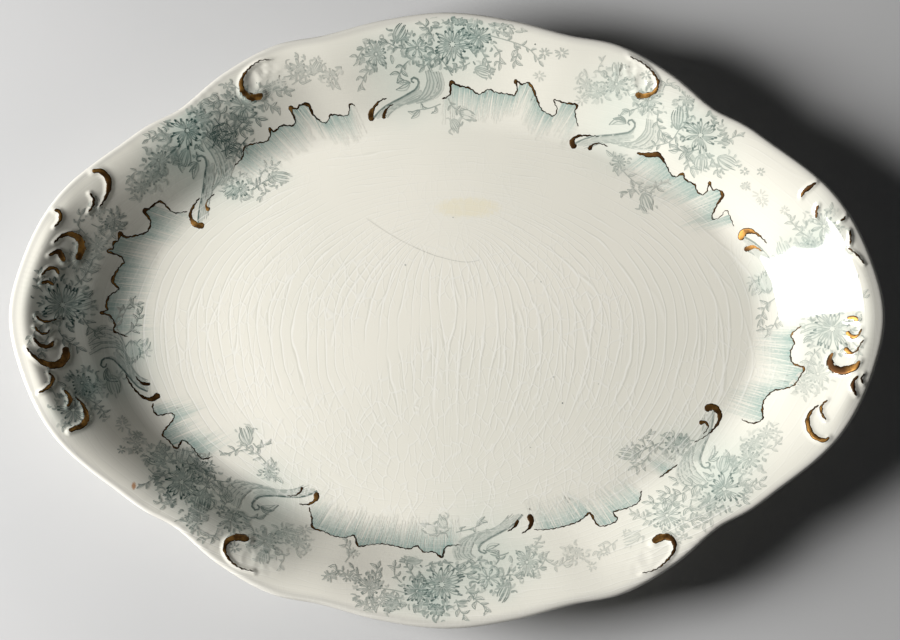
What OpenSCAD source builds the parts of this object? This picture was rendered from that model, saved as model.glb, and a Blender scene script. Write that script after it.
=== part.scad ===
// Oval serving platter of glazed earthenware, with a lobed and moulded border
// and gold strokes laid on by hand. Millimetres, +Z up, +X along the length,
// origin in the middle of the plane that the foot ring stands on.

/* [Plan] */
// Overall length, from lip to lip
platter_length = 356; // [300:1:460]
// Overall width, from lip to lip
platter_width = 254; // [215:1:330]
// Length of the flat well
well_length = 250; // [190:1:285]
// Width of the flat well
well_width = 162; // [120:1:190]

/* [Height] */
// Height of the lip at the two ends
end_height = 34; // [26:0.5:46]
// Height of the lip at the two long sides
side_height = 31; // [24:0.5:44]
// How far the lip dips at the deepest notch between two lobes
lobe_dip = 1.2; // [0:0.1:3]

/* [Walls] */
// Thickness of the floor of the well
floor_thickness = 4.5; // [3:0.1:7]
// Thickness of the border where it leaves the well
border_wall = 4.2; // [3:0.1:5.5]
// Thickness of the rounded lip
lip_thickness = 3.6; // [2.4:0.1:5]

/* [Foot ring] */
// Height of the foot ring below the floor
foot_height = 3; // [2:0.1:5]
// Width of the flat that the platter stands on
foot_flat = 2.6; // [1.4:0.1:5]
// Width of the sloping flank on either side of that flat
foot_flank = 1.2; // [0.6:0.1:2]
// How far the foot ring is set in from the edge of the well
foot_inset = 1.2; // [0.5:0.1:4]

/* [Moulded border] */
// Height of the roll along the lip at the two ends
end_roll_height = 1.6; // [0:0.1:2.5]
// Depth of the hollow inside that roll
end_hollow_depth = 1.1; // [0:0.1:1.6]
// Height of the moulded scrolls above the border
scroll_height = 0.9; // [0.4:0.1:1.6]
// Width of the sloping flank of a moulded scroll
scroll_flank = 0.8; // [0.4:0.1:1.2]
// How deep the root of a scroll reaches into the border
scroll_root = 0.9; // [0.6:0.1:1.5]

/* [Gilding] */
// Thickness of the gold at the middle of a stroke
gold_thickness = 0.2; // [0.1:0.02:0.4]
// Clearance between the gold and the glaze below it
gold_clearance = 0.12; // [0.05:0.01:0.2]

/* [Hidden] */

half_length = platter_length / 2;
half_width = platter_width / 2;
floor_top = foot_height + floor_thickness;
end_rise = end_height - floor_top;
side_rise = side_height - floor_top;

// The outline is an ellipse that swells into twelve lobes: its share of the
// ellipse at each turn of a quarter, from the end (0) to the side (90)
lobe_shares = [
    [0, 1], [10, 0.99], [24, 0.975], [36, 0.94], [42, 0.931], [48, 0.918],
    [57, 0.95], [66, 0.9755], [73, 0.967], [81, 0.985], [90, 1]
];
deepest_notch_share = 0.918;

// Section of the border, as shares of its width: the hollow cove that leaves
// the well, the convex roll that ends at the lip, and what is left of the
// slope at the lip
cove_share = 0.3;
lip_roll_share = 0.45;
lip_slope_share = 0.25;

// The roll and the hollow of the end lobes: where they lie across the border
// and half their widths, and the turns between which they fade out
end_roll_share = 0.86;
end_roll_half_share = 0.12;
end_hollow_share = 0.6;
end_hollow_half_share = 0.2;
end_roll_full_turn = 14;
end_roll_last_turn = 27;

// Columns of the loft round the platter, and its rings across the border
loft_columns = 108;
top_ring_shares = [
    0, 0.05, 0.1, 0.15, 0.2, 0.26, 0.33, 0.42, 0.52, 0.62, 0.72, 0.8, 0.86, 0.92, 0.97
];
lip_ring_turns = [0, 45, 90, 135, 180];
under_ring_shares = [0.88, 0.7, 0.52, 0.36, 0.2, 0.02];
// Drop of the foot ring's flanks at the shoulder above its flat
foot_shoulder_share = 0.2;

glaze_white = [0.91, 0.9, 0.86];
old_gold = [0.72, 0.5, 0.2];

// The strokes are placed as a view from above shows them, in its pixels: the
// middle and half size of the outline there, how far the view is from the
// lip, and the share of its depth by which a lower point slips down in it
outline_middle_px = [447, 318];
outline_half_px = [437.7, 308.7];
view_distance = 1500;
view_lean_share = 0.158;

// Each stroke of the brush is a list of [x, y, width]
shoulder_scroll_px = [
    [[[267, 59, 1], [258, 60, 1.2], [249, 66, 1.6], [242, 74, 2.8], [239, 83, 4.6],
        [241, 91, 6.6], [248, 97, 8], [256, 97, 8], [261, 94, 6]]],
    [[[632, 56, 1.2], [644, 62, 1.6], [654, 71, 2.2], [660, 81, 3], [658, 90, 4.2],
        [651, 95, 5.6], [643, 96, 6.6], [637, 94, 6]]],
    [[[256, 571, 1], [243, 568, 1.6], [233, 561, 2.4], [227, 551, 3.4], [229, 542, 5.2],
        [236, 538, 7.4], [244, 538, 8], [251, 540, 7]]],
    [[[640, 573, 1], [654, 569, 1.6], [665, 560, 2.4], [672, 550, 3.4], [671, 541, 5.2],
        [664, 537, 7.4], [656, 539, 8], [651, 543, 7]]]
];
end_scroll_px = [
    [
        [[98, 209, 1.2], [104, 199, 3], [107, 189, 5], [106, 180, 6], [101, 174, 5.6],
            [96, 172, 5], [90, 173, 4]],
        [[87, 214, 1.4], [91, 208, 3], [92, 201, 3], [88, 195, 2]],
        [[53, 229, 1.4], [58, 223, 3], [59, 217, 4], [57, 213, 4], [52.6, 212, 3]]
    ],
    [
        [[803, 199, 1.4], [805, 194, 4], [810, 190, 4.5], [814, 187, 4], [818, 184, 2]],
        [[818, 220, 2.4], [818, 213, 3.5], [820, 207, 2.5]],
        [[842, 223, 2], [845, 221, 2.4], [847, 218, 2]],
        [[851, 247, 1.5], [852, 240, 2.4], [851, 232, 2]]
    ],
    [
        [[76, 399, 1.2], [83, 405, 3], [87, 413, 5], [88, 421, 6.4], [84, 427, 6.4],
            [77, 430, 5.4], [71, 433, 4]],
        [[65, 392, 2], [70, 397, 4.4], [72, 403, 5], [69, 409, 3]],
        [[40, 395, 1.5], [46, 392, 3.4], [52, 387, 4], [54, 380, 4], [50, 375, 2]]
    ],
    [
        [[817, 407, 1.5], [810, 413, 3], [806, 421, 4.4], [807, 430, 5], [811, 437, 5],
            [817, 441, 5], [823, 442, 4.4], [827, 439, 3]],
        [[826, 402, 1.5], [820, 408, 3], [820, 415, 3], [824, 422, 1.5]],
        [[855, 398, 1.5], [852, 391, 4], [852, 384, 4], [857, 378, 2]],
        [[862, 386, 1.4], [860, 381, 2.4], [863, 376, 1.4]]
    ]
];
cartouche_px = [
    [
        [[53, 245, 1.4], [59, 239, 3], [67, 236, 5], [75, 238, 7], [80, 245, 8.4],
            [80, 254, 8.8], [76, 262, 7.4]],
        [[48, 258, 2], [53, 255, 4], [58, 254, 6], [61, 259, 6.4], [63, 264, 5]],
        [[41, 278, 1.4], [45, 273, 3], [51, 270, 4], [56, 272, 4], [58, 277, 2]],
        [[41, 286, 3], [46, 284, 4], [50, 285, 4], [53, 288, 2]],
        [[36, 318, 1.4], [40, 322, 3], [46, 324, 3], [52, 323, 2.4], [57, 321, 1.4]],
        [[35, 329, 2], [38, 333, 3], [43, 336, 3], [48, 335, 2.4], [50, 332, 1.4]],
        [[34, 340, 2], [39, 346, 4.4], [46, 349, 5], [52, 347, 4.4], [54, 343, 2.4]],
        [[27, 350, 1.4], [33, 357, 3], [41, 363, 5], [50, 367, 7], [58, 367, 8],
            [64, 363, 8], [67, 356, 8], [66, 349, 7]]
    ],
    [
        [[865, 266, 1.2], [858, 257, 2], [849, 250, 1.5]],
        [[858, 323, 4], [853, 320, 5], [847, 321, 4]],
        [[861, 331, 1.4], [859, 336, 2.6], [855, 339, 4], [850, 338, 5], [846, 334, 5]],
        [[863, 342, 1.2], [859, 348, 2], [855, 354, 2.4], [849, 355, 4], [844, 350, 6.6]],
        [[832, 355, 3], [829, 362, 6], [831, 369, 8], [838, 373, 8.8], [846, 372, 8.8],
            [854, 369, 7], [859, 363, 4]]
    ]
];
leaf_tip_px = [
    [
        [[386, 98, 1], [379, 101, 2], [373, 108, 3.6], [370, 115, 6], [372, 121, 7]],
        [[393, 104, 1], [388, 107, 2.4], [384, 113, 4.4], [383, 119, 6]]
    ],
    [
        [[600, 137, 1], [587, 136, 2], [578, 137, 3.2], [573, 142, 5.4], [576, 149, 8]],
        [[609, 147, 1], [600, 144, 1.8], [593, 146, 3.6], [590, 151, 5]]
    ],
    [
        [[768, 245, 1], [760, 237, 2.2], [752, 233, 5], [745, 234, 7.4], [741, 242, 7.4]],
        [[763, 253, 1.4], [756, 249, 4.4], [750, 250, 6.4], [745, 252, 5]]
    ],
    [
        [[693, 444, 1], [704, 438, 1.8], [713, 430, 2.6], [718, 422, 4], [718, 414, 6],
            [711, 409, 8], [704, 412, 7]],
        [[702, 436, 1], [707, 429, 2.4], [704, 424, 4.4], [698, 425, 5]]
    ],
    [
        [[521, 534, 1], [528, 529, 3], [531, 522, 6], [528, 515, 7]],
        [[507, 532, 1], [514, 527, 3], [517, 520, 5.4]]
    ],
    [
        [[300, 505, 1], [310, 505, 2.4], [317, 500, 5], [317, 493, 7]],
        [[288, 497, 1], [297, 496, 2], [302, 492, 3.4], [303, 488, 4]]
    ],
    [
        [[126, 376, 1], [130, 384, 1.6], [136, 392, 2.2], [144, 399, 3.2], [153, 401, 5],
            [160, 396, 8]],
        [[136, 378, 1], [140, 383, 3], [145, 386, 4.4], [151, 386, 4]]
    ],
    [
        [[198, 199, 1], [192, 208, 2.6], [189, 216, 4], [192, 224, 5.6], [198, 227, 7],
            [203, 226, 7]],
        [[213, 195, 1], [206, 202, 2.4], [205, 208, 4.4], [208, 212, 6]]
    ]
];
rocaille_line_px = [
    [
        [[442, 99, 1.8], [450, 94, 2], [451, 82, 4], [458, 85, 2.2], [470, 88, 2],
            [479, 94, 1.4], [489, 89, 1.4], [496, 92, 1.4], [509, 94, 1.4], [515, 95, 2],
            [518, 88, 1.6], [516, 80, 3.2], [523, 84, 1.6], [528, 82, 1.8], [533, 87, 3.2],
            [537, 97, 2.4], [542, 109, 1.4], [549, 114, 1.2], [555, 116, 1.6],
            [558, 109, 1.2], [555, 100, 1.4], [566, 103, 1.8], [578, 105, 2.8],
            [576, 112, 1.6], [579, 127, 1]]
    ],
    [
        [[233, 167, 1.2], [241, 158, 1.8], [243, 148, 2], [254, 144, 1.6], [265, 142, 1.6],
            [269, 135, 2], [268, 129, 3], [273, 132, 2.2], [280, 126, 1.8], [291, 126, 1.8],
            [294, 121, 1.8], [289, 108, 4], [295, 109, 2], [299, 105, 2.2], [307, 105, 4],
            [312, 115, 2.4], [322, 123, 1.2], [327, 121, 1.2], [330, 115, 2], [344, 116, 1.2],
            [348, 113, 1.2], [349, 104, 2], [354, 106, 1.4]]
    ],
    [
        [[186, 213, 1.2], [172, 214, 1.6], [159, 203, 2.4], [148, 210, 2.4], [143, 213, 4.6],
            [149, 222, 2.2], [148, 230, 2.2], [143, 235, 2], [125, 239, 2.6], [119, 235, 4.6],
            [117, 242, 1.8], [112, 245, 3], [112, 250, 1.8], [106, 253, 3], [119, 258, 1.8],
            [123, 264, 2], [118, 270, 1.8], [112, 283, 4], [118, 291, 1.8], [109, 298, 1.8],
            [106, 307, 3], [107, 312, 1.8], [101, 315, 3], [110, 318, 2.2], [115, 327, 2.4],
            [114, 333, 2.8], [128, 339, 1.2]]
    ],
    [
        [[154, 405, 2], [154, 411, 1.6], [159, 417, 2], [172, 415, 1.4], [175, 420, 1.8],
            [164, 435, 2.2], [170, 442, 1.6], [178, 450, 2.6], [184, 442, 2], [193, 448, 1.4],
            [203, 460, 1.8], [214, 458, 1.2]]
    ],
    [
        [[310, 508, 1.4], [313, 519, 2], [314, 528, 3], [325, 532, 1.4], [334, 536, 1.4],
            [345, 538, 1], [355, 536, 2], [359, 546, 2.4], [370, 545, 1], [382, 544, 1.4],
            [395, 546, 1.6], [409, 549, 1.6], [417, 546, 2], [424, 552, 1.6], [434, 552, 1.6],
            [442, 557, 2.8], [446, 547, 1.8], [461, 545, 1.4]]
    ],
    [
        [[533, 530, 1], [545, 530, 1.2], [558, 528, 1.4], [575, 523, 1.8], [583, 518, 1.6],
            [589, 514, 3.2], [597, 526, 1.8], [608, 525, 1.4], [616, 520, 1.8], [612, 513, 2],
            [625, 509, 1.4], [637, 503, 1.4], [640, 492, 1.8]],
        [[658, 479, 1], [666, 473, 2.4], [676, 466, 1.2]]
    ],
    [
        [[638, 154, 2], [650, 156, 5], [660, 156, 5], [667, 165, 1.8], [672, 175, 1.6],
            [677, 178, 1.6], [684, 175, 3], [687, 181, 2], [696, 186, 2], [698, 192, 1.8],
            [703, 196, 1.8], [708, 193, 1.4], [711, 184, 2.6], [714, 191, 1.6],
            [720, 191, 1.4], [724, 197, 4.2], [719, 205, 2.6], [713, 218, 1.8],
            [716, 221, 1.2], [722, 218, 1], [728, 212, 1], [735, 228, 1]]
    ],
    [
        [[801, 328, 1.4], [791, 337, 2], [794, 345, 1.6], [790, 354, 1.6], [792, 365, 2],
            [803, 370, 3], [800, 377, 1.8], [793, 387, 2], [782, 391, 1.6], [772, 393, 2],
            [763, 402, 1.6], [761, 412, 2.6], [761, 421, 1.6], [751, 425, 2], [740, 421, 1]]
    ]
];
// The longest straight run of a stroke on the curved border
longest_run = 4.4;
// How far a stroke runs past its last point, and its width there, both as
// shares of its width
stroke_end_share = 0.35;
stroke_tip_share = 0.5;

// A value between the knots of a table, on a smooth curve that is level at
// the first and the last knot
function knot_slope(knots, i) =
    i == 0 || i == len(knots) - 1 ? 0 :
    (knots[i + 1][1] - knots[i - 1][1]) / (knots[i + 1][0] - knots[i - 1][0]);
function smooth_lookup(knots, x) = let (
        i = max([for (j = [0:len(knots) - 2]) if (knots[j][0] <= x) j]),
        gap = knots[i + 1][0] - knots[i][0],
        u = (x - knots[i][0]) / gap
    )
    knots[i][1] * (1 - u) * (1 - u) * (1 + 2 * u)
    + knots[i + 1][1] * u * u * (3 - 2 * u)
    + gap * u * (1 - u) * (knot_slope(knots, i) * (1 - u) - knot_slope(knots, i + 1) * u);

// A rounded bump, 1 in the middle and 0 from x = 1 on, and a smooth step
// down from 1 at x = 0 to 0 at x = 1
function bump(x) = abs(x) >= 1 ? 0 : pow(cos(90 * x), 2);
function fade(x) = let (u = min(1, max(0, x))) 1 - u * u * (3 - 2 * u);

// Turns of the whole oval folded into one quarter, 0 at an end, 90 at a side
function quarter_turn(turn) = let (t = abs(turn) % 180) t > 90 ? 180 - t : t;

// Plan of the platter: a point at a turn, as a share of the plain ellipse
function plan_point(turn, reach) = reach * [half_length * cos(turn), half_width * sin(turn)];
function plan_turn(p) = atan2(p.y / half_width, p.x / half_length);
function plan_reach(p) = norm([p.x / half_length, p.y / half_width]);
// Reach of an oval with its own half length and half width
function oval_reach(turn, length, width) =
    1 / norm([half_length * cos(turn) / length, half_width * sin(turn) / width]);
function lip_reach(turn) = smooth_lookup(lobe_shares, quarter_turn(turn));
function well_reach(turn) = oval_reach(turn, well_length / 2, well_width / 2);
function border_width(turn) =
    (lip_reach(turn) - well_reach(turn)) * norm([half_length * cos(turn), half_width * sin(turn)]);
function border_reach(turn, share) =
    well_reach(turn) + share * (lip_reach(turn) - well_reach(turn));

// Section of the border, from 0 at the well to 1 at the lip, and its slope
main_slope = 1 / (1 - cove_share / 2 - (1 - lip_slope_share) * lip_roll_share / 2);
function section_rise(s) = main_slope * (
    s < cove_share ? s * s / (2 * cove_share) :
    s - cove_share / 2
    - (1 - lip_slope_share) * pow(max(0, s - 1 + lip_roll_share), 2) / (2 * lip_roll_share));
function section_slope(s) = main_slope * min(s / cove_share,
    1 - (1 - lip_slope_share) * max(0, s - 1 + lip_roll_share) / lip_roll_share);

// Height of the upper surface, at a turn and a share of the border
function rim_rise(turn) =
    side_rise + (end_rise - side_rise) * pow(cos(turn), 2)
    - lobe_dip * (1 - lip_reach(turn)) / (1 - deepest_notch_share);
function end_relief(turn, s) =
    fade((quarter_turn(turn) - end_roll_full_turn) / (end_roll_last_turn - end_roll_full_turn))
    * (end_roll_height * bump((s - end_roll_share) / end_roll_half_share)
        - end_hollow_depth * bump((s - end_hollow_share) / end_hollow_half_share));
function top_height(turn, s) =
    s <= 0 ? floor_top : floor_top + rim_rise(turn) * section_rise(s) + end_relief(turn, s);
function top_height_at(p) = let (turn = plan_turn(p), well = well_reach(turn))
    top_height(turn, min(1, (plan_reach(p) - well) / (lip_reach(turn) - well)));

// The wall under a point, measured straight down, grows with the slope
function wall_drop(turn, s) =
    (border_wall + (lip_thickness - border_wall) * s)
    * norm([1, rim_rise(turn) * section_slope(s) / border_width(turn)]);

// One column of the loft, from the edge of the well over the lip to the
// inner side of the foot ring
function on_border(turn, s, drop) =
    let (p = plan_point(turn, border_reach(turn, s))) [p.x, p.y, top_height(turn, s) - drop];
function on_oval(turn, inset, z) = let (
        p = plan_point(turn, oval_reach(turn, well_length / 2 - inset, well_width / 2 - inset))
    ) [p.x, p.y, z];
function lip_point(turn, around) = let (
        r = lip_thickness / 2,
        s = 1 - r * (1 - sin(around)) / border_width(turn),
        drop = r * (1 - cos(around)) * norm([1, rim_rise(turn) * section_slope(1)
            / border_width(turn)])
    ) on_border(turn, s, drop);
foot_flat_inset = foot_inset + foot_flank;
foot_inner_inset = foot_flat_inset + foot_flat;
foot_shoulder = foot_height * foot_shoulder_share;
function column(turn) = concat(
    [for (s = top_ring_shares) on_border(turn, s, 0)],
    [for (around = lip_ring_turns) lip_point(turn, around)],
    [for (s = under_ring_shares) on_border(turn, s, wall_drop(turn, s))],
    [
        on_oval(turn, foot_inset, floor_top - border_wall),
        on_oval(turn, foot_flat_inset - foot_flank * foot_shoulder_share, foot_shoulder),
        on_oval(turn, foot_flat_inset, 0),
        on_oval(turn, foot_inner_inset, 0),
        on_oval(turn, foot_inner_inset + foot_flank * foot_shoulder_share, foot_shoulder),
        on_oval(turn, foot_inner_inset + foot_flank, foot_height)
    ]
);

// A closed loft round the platter, with a point in the middle of the well and
// one in the middle of the underside
module lofted_body() {
    columns = [for (i = [0:loft_columns - 1]) column(360 * i / loft_columns)];
    rings = len(columns[0]);
    middle = loft_columns * rings;
    polyhedron(
        points = concat(
            [for (c = columns) each c],
            [[0, 0, floor_top], [0, 0, foot_height]]
        ),
        faces = [for (i = [0:loft_columns - 1]) let (a = i * rings, b = (i + 1) % loft_columns * rings)
            each concat(
                [[middle, b, a], [middle + 1, a + rings - 1, b + rings - 1]],
                [for (j = [0:rings - 2]) each [[a + j, b + j, b + j + 1], [a + j, b + j + 1, a + j + 1]]]
            )
        ]
    );
}

// From a pixel of the view to the plan. The depth below the lip is taken at
// the last guess and the guess is bettered a few times
function plan_of_px(px, depth, rounds) = let (
        flat = [
            (px.x - outline_middle_px.x) / outline_half_px.x * half_length,
            (outline_middle_px.y - px.y) / outline_half_px.y * half_width
        ],
        p = flat * (1 + depth / view_distance) + [0, depth * view_lean_share]
    )
    rounds == 0 ? p : plan_of_px(px, side_height - top_height_at(p), rounds - 1);
px_size = half_length / outline_half_px.x;

// Stations of a stroke, [x, y, width] in the plan: the points of the brush,
// smoothed, with a rounded end before the first and after the last
function smoothed(points) = [
    for (i = [0:len(points) - 2]) let (
            a = points[max(0, i - 1)], b = points[i],
            c = points[i + 1], d = points[min(len(points) - 1, i + 2)],
            runs = ceil(norm([c.x - b.x, c.y - b.y]) / longest_run)
        ) for (k = [0:runs - 1]) let (u = k / runs)
        0.5 * (2 * b + (c - a) * u + (2 * a - 5 * b + 4 * c - d) * u * u
            + (3 * b - a - 3 * c + d) * u * u * u),
    points[len(points) - 1]
];
function past_end(last, before) = let (
        way = [last.x - before.x, last.y - before.y],
        step = way / norm(way) * last.z * stroke_end_share
    ) [last.x + step.x, last.y + step.y, last.z * stroke_tip_share];
function stations(stroke_px) = let (
        points = [for (q = stroke_px)
            let (p = plan_of_px(q, side_rise / 2, 3)) [p.x, p.y, q.z * px_size]],
        s = smoothed(points),
        last = len(s) - 1
    ) concat([past_end(s[0], s[1])], s, [past_end(s[last], s[last - 1])]);
// Sideways direction of a stroke at a station
function sideways(s, i) = let (
        a = s[max(0, i - 1)], b = s[min(len(s) - 1, i + 1)], way = [b.x - a.x, b.y - a.y]
    ) [-way.y, way.x] / norm(way);
// A point beside a station, lifted above the upper surface
function lifted(station, side, out, lift) =
    let (p = [station.x, station.y] + side * out) [p.x, p.y, top_height_at(p) + lift];

// A solid swept through sections that all have the same number of points.
// Each four-sided facet is cut along its shorter diagonal
module swept(sections) {
    n = len(sections[0]);
    last = len(sections) - 1;
    function across(i, j, k, l) = norm(sections[i][k] - sections[j][l]);
    polyhedron(
        points = [for (s = sections) each s],
        faces = concat(
            [[for (k = [0:n - 1]) k], [for (k = [n - 1:-1:0]) last * n + k]],
            [for (i = [0:last - 1], k = [0:n - 1])
                let (l = (k + 1) % n, a = i * n + k, b = i * n + l)
                each across(i, i + 1, k, l) < across(i, i + 1, l, k)
                    ? [[a, a + n, b + n], [a, b + n, b]]
                    : [[a, a + n, b], [b, a + n, b + n]]]
        )
    );
}

// A moulded scroll under a stroke: flat on top, with sloping flanks, and with
// a rounded button where the stroke ends
module moulded_scroll(stroke_px) {
    s = stations(stroke_px);
    swept([for (i = [0:len(s) - 1]) let (side = sideways(s, i), half = s[i].z / 2) [
        lifted(s[i], side, half + scroll_flank, -scroll_root),
        lifted(s[i], side, half + gold_clearance, scroll_height),
        lifted(s[i], side, -half - gold_clearance, scroll_height),
        lifted(s[i], side, -half - scroll_flank, -scroll_root)
    ]]);
    moulded_button(s, len(s) - 2);
}
module moulded_button(s, i) {
    side = sideways(s, i);
    r = s[i].z / 2;
    across = lifted(s[i], side, r, 0) - lifted(s[i], side, -r, 0);
    here = (lifted(s[i], side, r, 0) + lifted(s[i], side, -r, 0)) / 2;
    along = lifted(s[i], side, 0, 0) - lifted(s[i - 1], side, 0, 0);
    up = cross(along, across);
    lean = [0, acos(up.z / norm(up)), atan2(up.y, up.x)];
    hull() {
        translate(here - [0, 0, scroll_root]) rotate(lean)
            cylinder(h = gold_clearance, r = r + scroll_flank, $fn = 8);
        translate(here + [0, 0, scroll_height - gold_clearance]) rotate(lean)
            cylinder(h = gold_clearance / 2, r = r, $fn = 8);
    }
}

// One stroke of gold: flat below, thickest along its middle
module gold_stroke(stroke_px, seat) {
    s = stations(stroke_px);
    swept([for (i = [0:len(s) - 1]) let (side = sideways(s, i), half = s[i].z / 2) [
        lifted(s[i], side, half, seat + gold_clearance),
        lifted(s[i], side, 0, seat + gold_clearance + gold_thickness),
        lifted(s[i], side, -half, seat + gold_clearance)
    ]]);
}

module platter_body() {
    color(glaze_white) union() {
        lofted_body();
        for (set = concat(shoulder_scroll_px, end_scroll_px, cartouche_px), stroke = set)
            moulded_scroll(stroke);
    }
}
module scroll_gilding(strokes_px) {
    color(old_gold) for (stroke = strokes_px) gold_stroke(stroke, scroll_height);
}
module printed_border_gilding(strokes_px) {
    color(old_gold) for (stroke = strokes_px) gold_stroke(stroke, 0);
}
module shoulder_scroll_gilding_back_left() { scroll_gilding(shoulder_scroll_px[0]); }
module shoulder_scroll_gilding_back_right() { scroll_gilding(shoulder_scroll_px[1]); }
module shoulder_scroll_gilding_front_left() { scroll_gilding(shoulder_scroll_px[2]); }
module shoulder_scroll_gilding_front_right() { scroll_gilding(shoulder_scroll_px[3]); }
module end_scroll_gilding_back_left() { scroll_gilding(end_scroll_px[0]); }
module end_scroll_gilding_back_right() { scroll_gilding(end_scroll_px[1]); }
module end_scroll_gilding_front_left() { scroll_gilding(end_scroll_px[2]); }
module end_scroll_gilding_front_right() { scroll_gilding(end_scroll_px[3]); }
module cartouche_gilding_left() { scroll_gilding(cartouche_px[0]); }
module cartouche_gilding_right() { scroll_gilding(cartouche_px[1]); }
module leaf_tip_gilding(i) { printed_border_gilding(leaf_tip_px[i - 1]); }
module rocaille_line_gilding(i) { printed_border_gilding(rocaille_line_px[i - 1]); }

platter_body();
shoulder_scroll_gilding_back_left();
shoulder_scroll_gilding_back_right();
shoulder_scroll_gilding_front_left();
shoulder_scroll_gilding_front_right();
end_scroll_gilding_back_left();
end_scroll_gilding_back_right();
end_scroll_gilding_front_left();
end_scroll_gilding_front_right();
cartouche_gilding_left();
cartouche_gilding_right();
for (i = [1:len(leaf_tip_px)])
    leaf_tip_gilding(i);
for (i = [1:len(rocaille_line_px)])
    rocaille_line_gilding(i);
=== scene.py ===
import bpy
import numpy as np
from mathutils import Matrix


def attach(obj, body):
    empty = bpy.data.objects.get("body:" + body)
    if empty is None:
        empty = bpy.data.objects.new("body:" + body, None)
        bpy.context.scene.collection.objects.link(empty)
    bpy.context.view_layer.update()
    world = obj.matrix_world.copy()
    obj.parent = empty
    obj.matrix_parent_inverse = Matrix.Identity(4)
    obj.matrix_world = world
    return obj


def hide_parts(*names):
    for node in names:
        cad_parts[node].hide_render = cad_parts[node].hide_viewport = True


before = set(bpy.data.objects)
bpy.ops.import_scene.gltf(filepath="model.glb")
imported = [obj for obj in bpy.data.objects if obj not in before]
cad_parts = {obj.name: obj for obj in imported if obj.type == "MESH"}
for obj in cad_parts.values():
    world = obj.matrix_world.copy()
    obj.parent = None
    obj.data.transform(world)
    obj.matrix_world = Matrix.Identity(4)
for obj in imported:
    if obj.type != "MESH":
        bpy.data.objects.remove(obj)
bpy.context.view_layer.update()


# Platter body. One piece of pressed white earthenware: a flat oval well, a cove,
# a lobed border with moulded scrolls, a rounded lip, and a foot ring underneath
# whose flat is left without glaze. Everything else stands on it.

# Lengths are in millimetres, and MM is one of them in Blender's metres. A turn is an angle
# round the oval in degrees, a reach is a share of the plain oval, and a share runs from 0
# at the edge of the well to 1 at the lip
MM = 0.001
HALF_LENGTH, HALF_WIDTH = 178.0, 127.0
WELL_HALF_LENGTH, WELL_HALF_WIDTH = 125.0, 81.0
FLOOR_TOP, FOOT_HEIGHT = 7.5, 3.0
END_RISE, SIDE_RISE = 26.5, 23.5
LOBE_DIP, DEEPEST_NOTCH = 1.2, 0.918
BORDER_WALL, LIP_THICKNESS = 4.2, 3.6
FOOT_FLAT, FOOT_FLANK, FOOT_INSET = 2.6, 1.2, 1.2
SCROLL_HEIGHT, SCROLL_FLANK = 0.62, 1.25

# Section of the border in shares: length of the cove, length of the roll at the lip, and
# the slope left at the lip as a share of the main slope
COVE, LIP_ROLL, LIP_SLOPE = 0.3, 0.45, 0.25
MAIN_SLOPE = 1 / (1 - COVE / 2 - (1 - LIP_SLOPE) * LIP_ROLL / 2)

# Reach of the lip over one quarter: turn and reach
LOBES = [
    [0, 1], [10, 0.99], [24, 0.975], [36, 0.94], [42, 0.931], [48, 0.918],
    [57, 0.95], [66, 0.9755], [73, 0.967], [81, 0.985], [90, 1],
]

# Roll and hollow of an end lobe: height, share and half width. They are full up to a turn
# and gone within a few degrees more
END_ROLL, END_HOLLOW = (1.25, 0.87, 0.12), (1.1, 0.6, 0.2)
END_LOBE_TURN, END_LOBE_FADE = 14, 13

# Shallow flutes that run to the lip, at the notches and at the ends: turn and half width,
# share and half width, pitch on a circle of the flute radius, and depth
FLUTES = [(44, 16, 0.97, 0.3, 4.1, 0.075), (7, 9, 0.93, 0.08, 2.6, 0.08)]
FLUTE_RADIUS = 150

# Places on the border are written as a view from above shows them, in its pixels, with
# the oval's middle and half size there. The view is measured at the height of the lip,
# from a distance, and leans to the front by the angle of this tangent
VIEW_MIDDLE, VIEW_HALF = (447, 318), (437.7, 308.7)
VIEW_DISTANCE, VIEW_LEAN, VIEW_HEIGHT = 1500, 0.158, 31.0
PIXEL = HALF_LENGTH / VIEW_HALF[0]

# Brush strokes over the moulded scrolls: x, y and width in pixels at each point
SHOULDER_SCROLLS = {
    "back_left": [[(267, 59, 1), (258, 60, 1.2), (249, 66, 1.6), (242, 74, 2.8), (239, 83, 4.6),
                   (241, 91, 6.6), (248, 97, 8), (256, 97, 8), (261, 94, 6)]],
    "back_right": [[(632, 56, 1.2), (644, 62, 1.6), (654, 71, 2.2), (660, 81, 3),
                    (658, 90, 4.2), (651, 95, 5.6), (643, 96, 6.6), (637, 94, 6)]],
    "front_left": [[(256, 571, 1), (243, 568, 1.6), (233, 561, 2.4), (227, 551, 3.4),
                    (229, 542, 5.2), (236, 538, 7.4), (244, 538, 8), (251, 540, 7)]],
    "front_right": [[(640, 573, 1), (654, 569, 1.6), (665, 560, 2.4), (672, 550, 3.4),
                     (671, 541, 5.2), (664, 537, 7.4), (656, 539, 8), (651, 543, 7)]],
}
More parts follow.
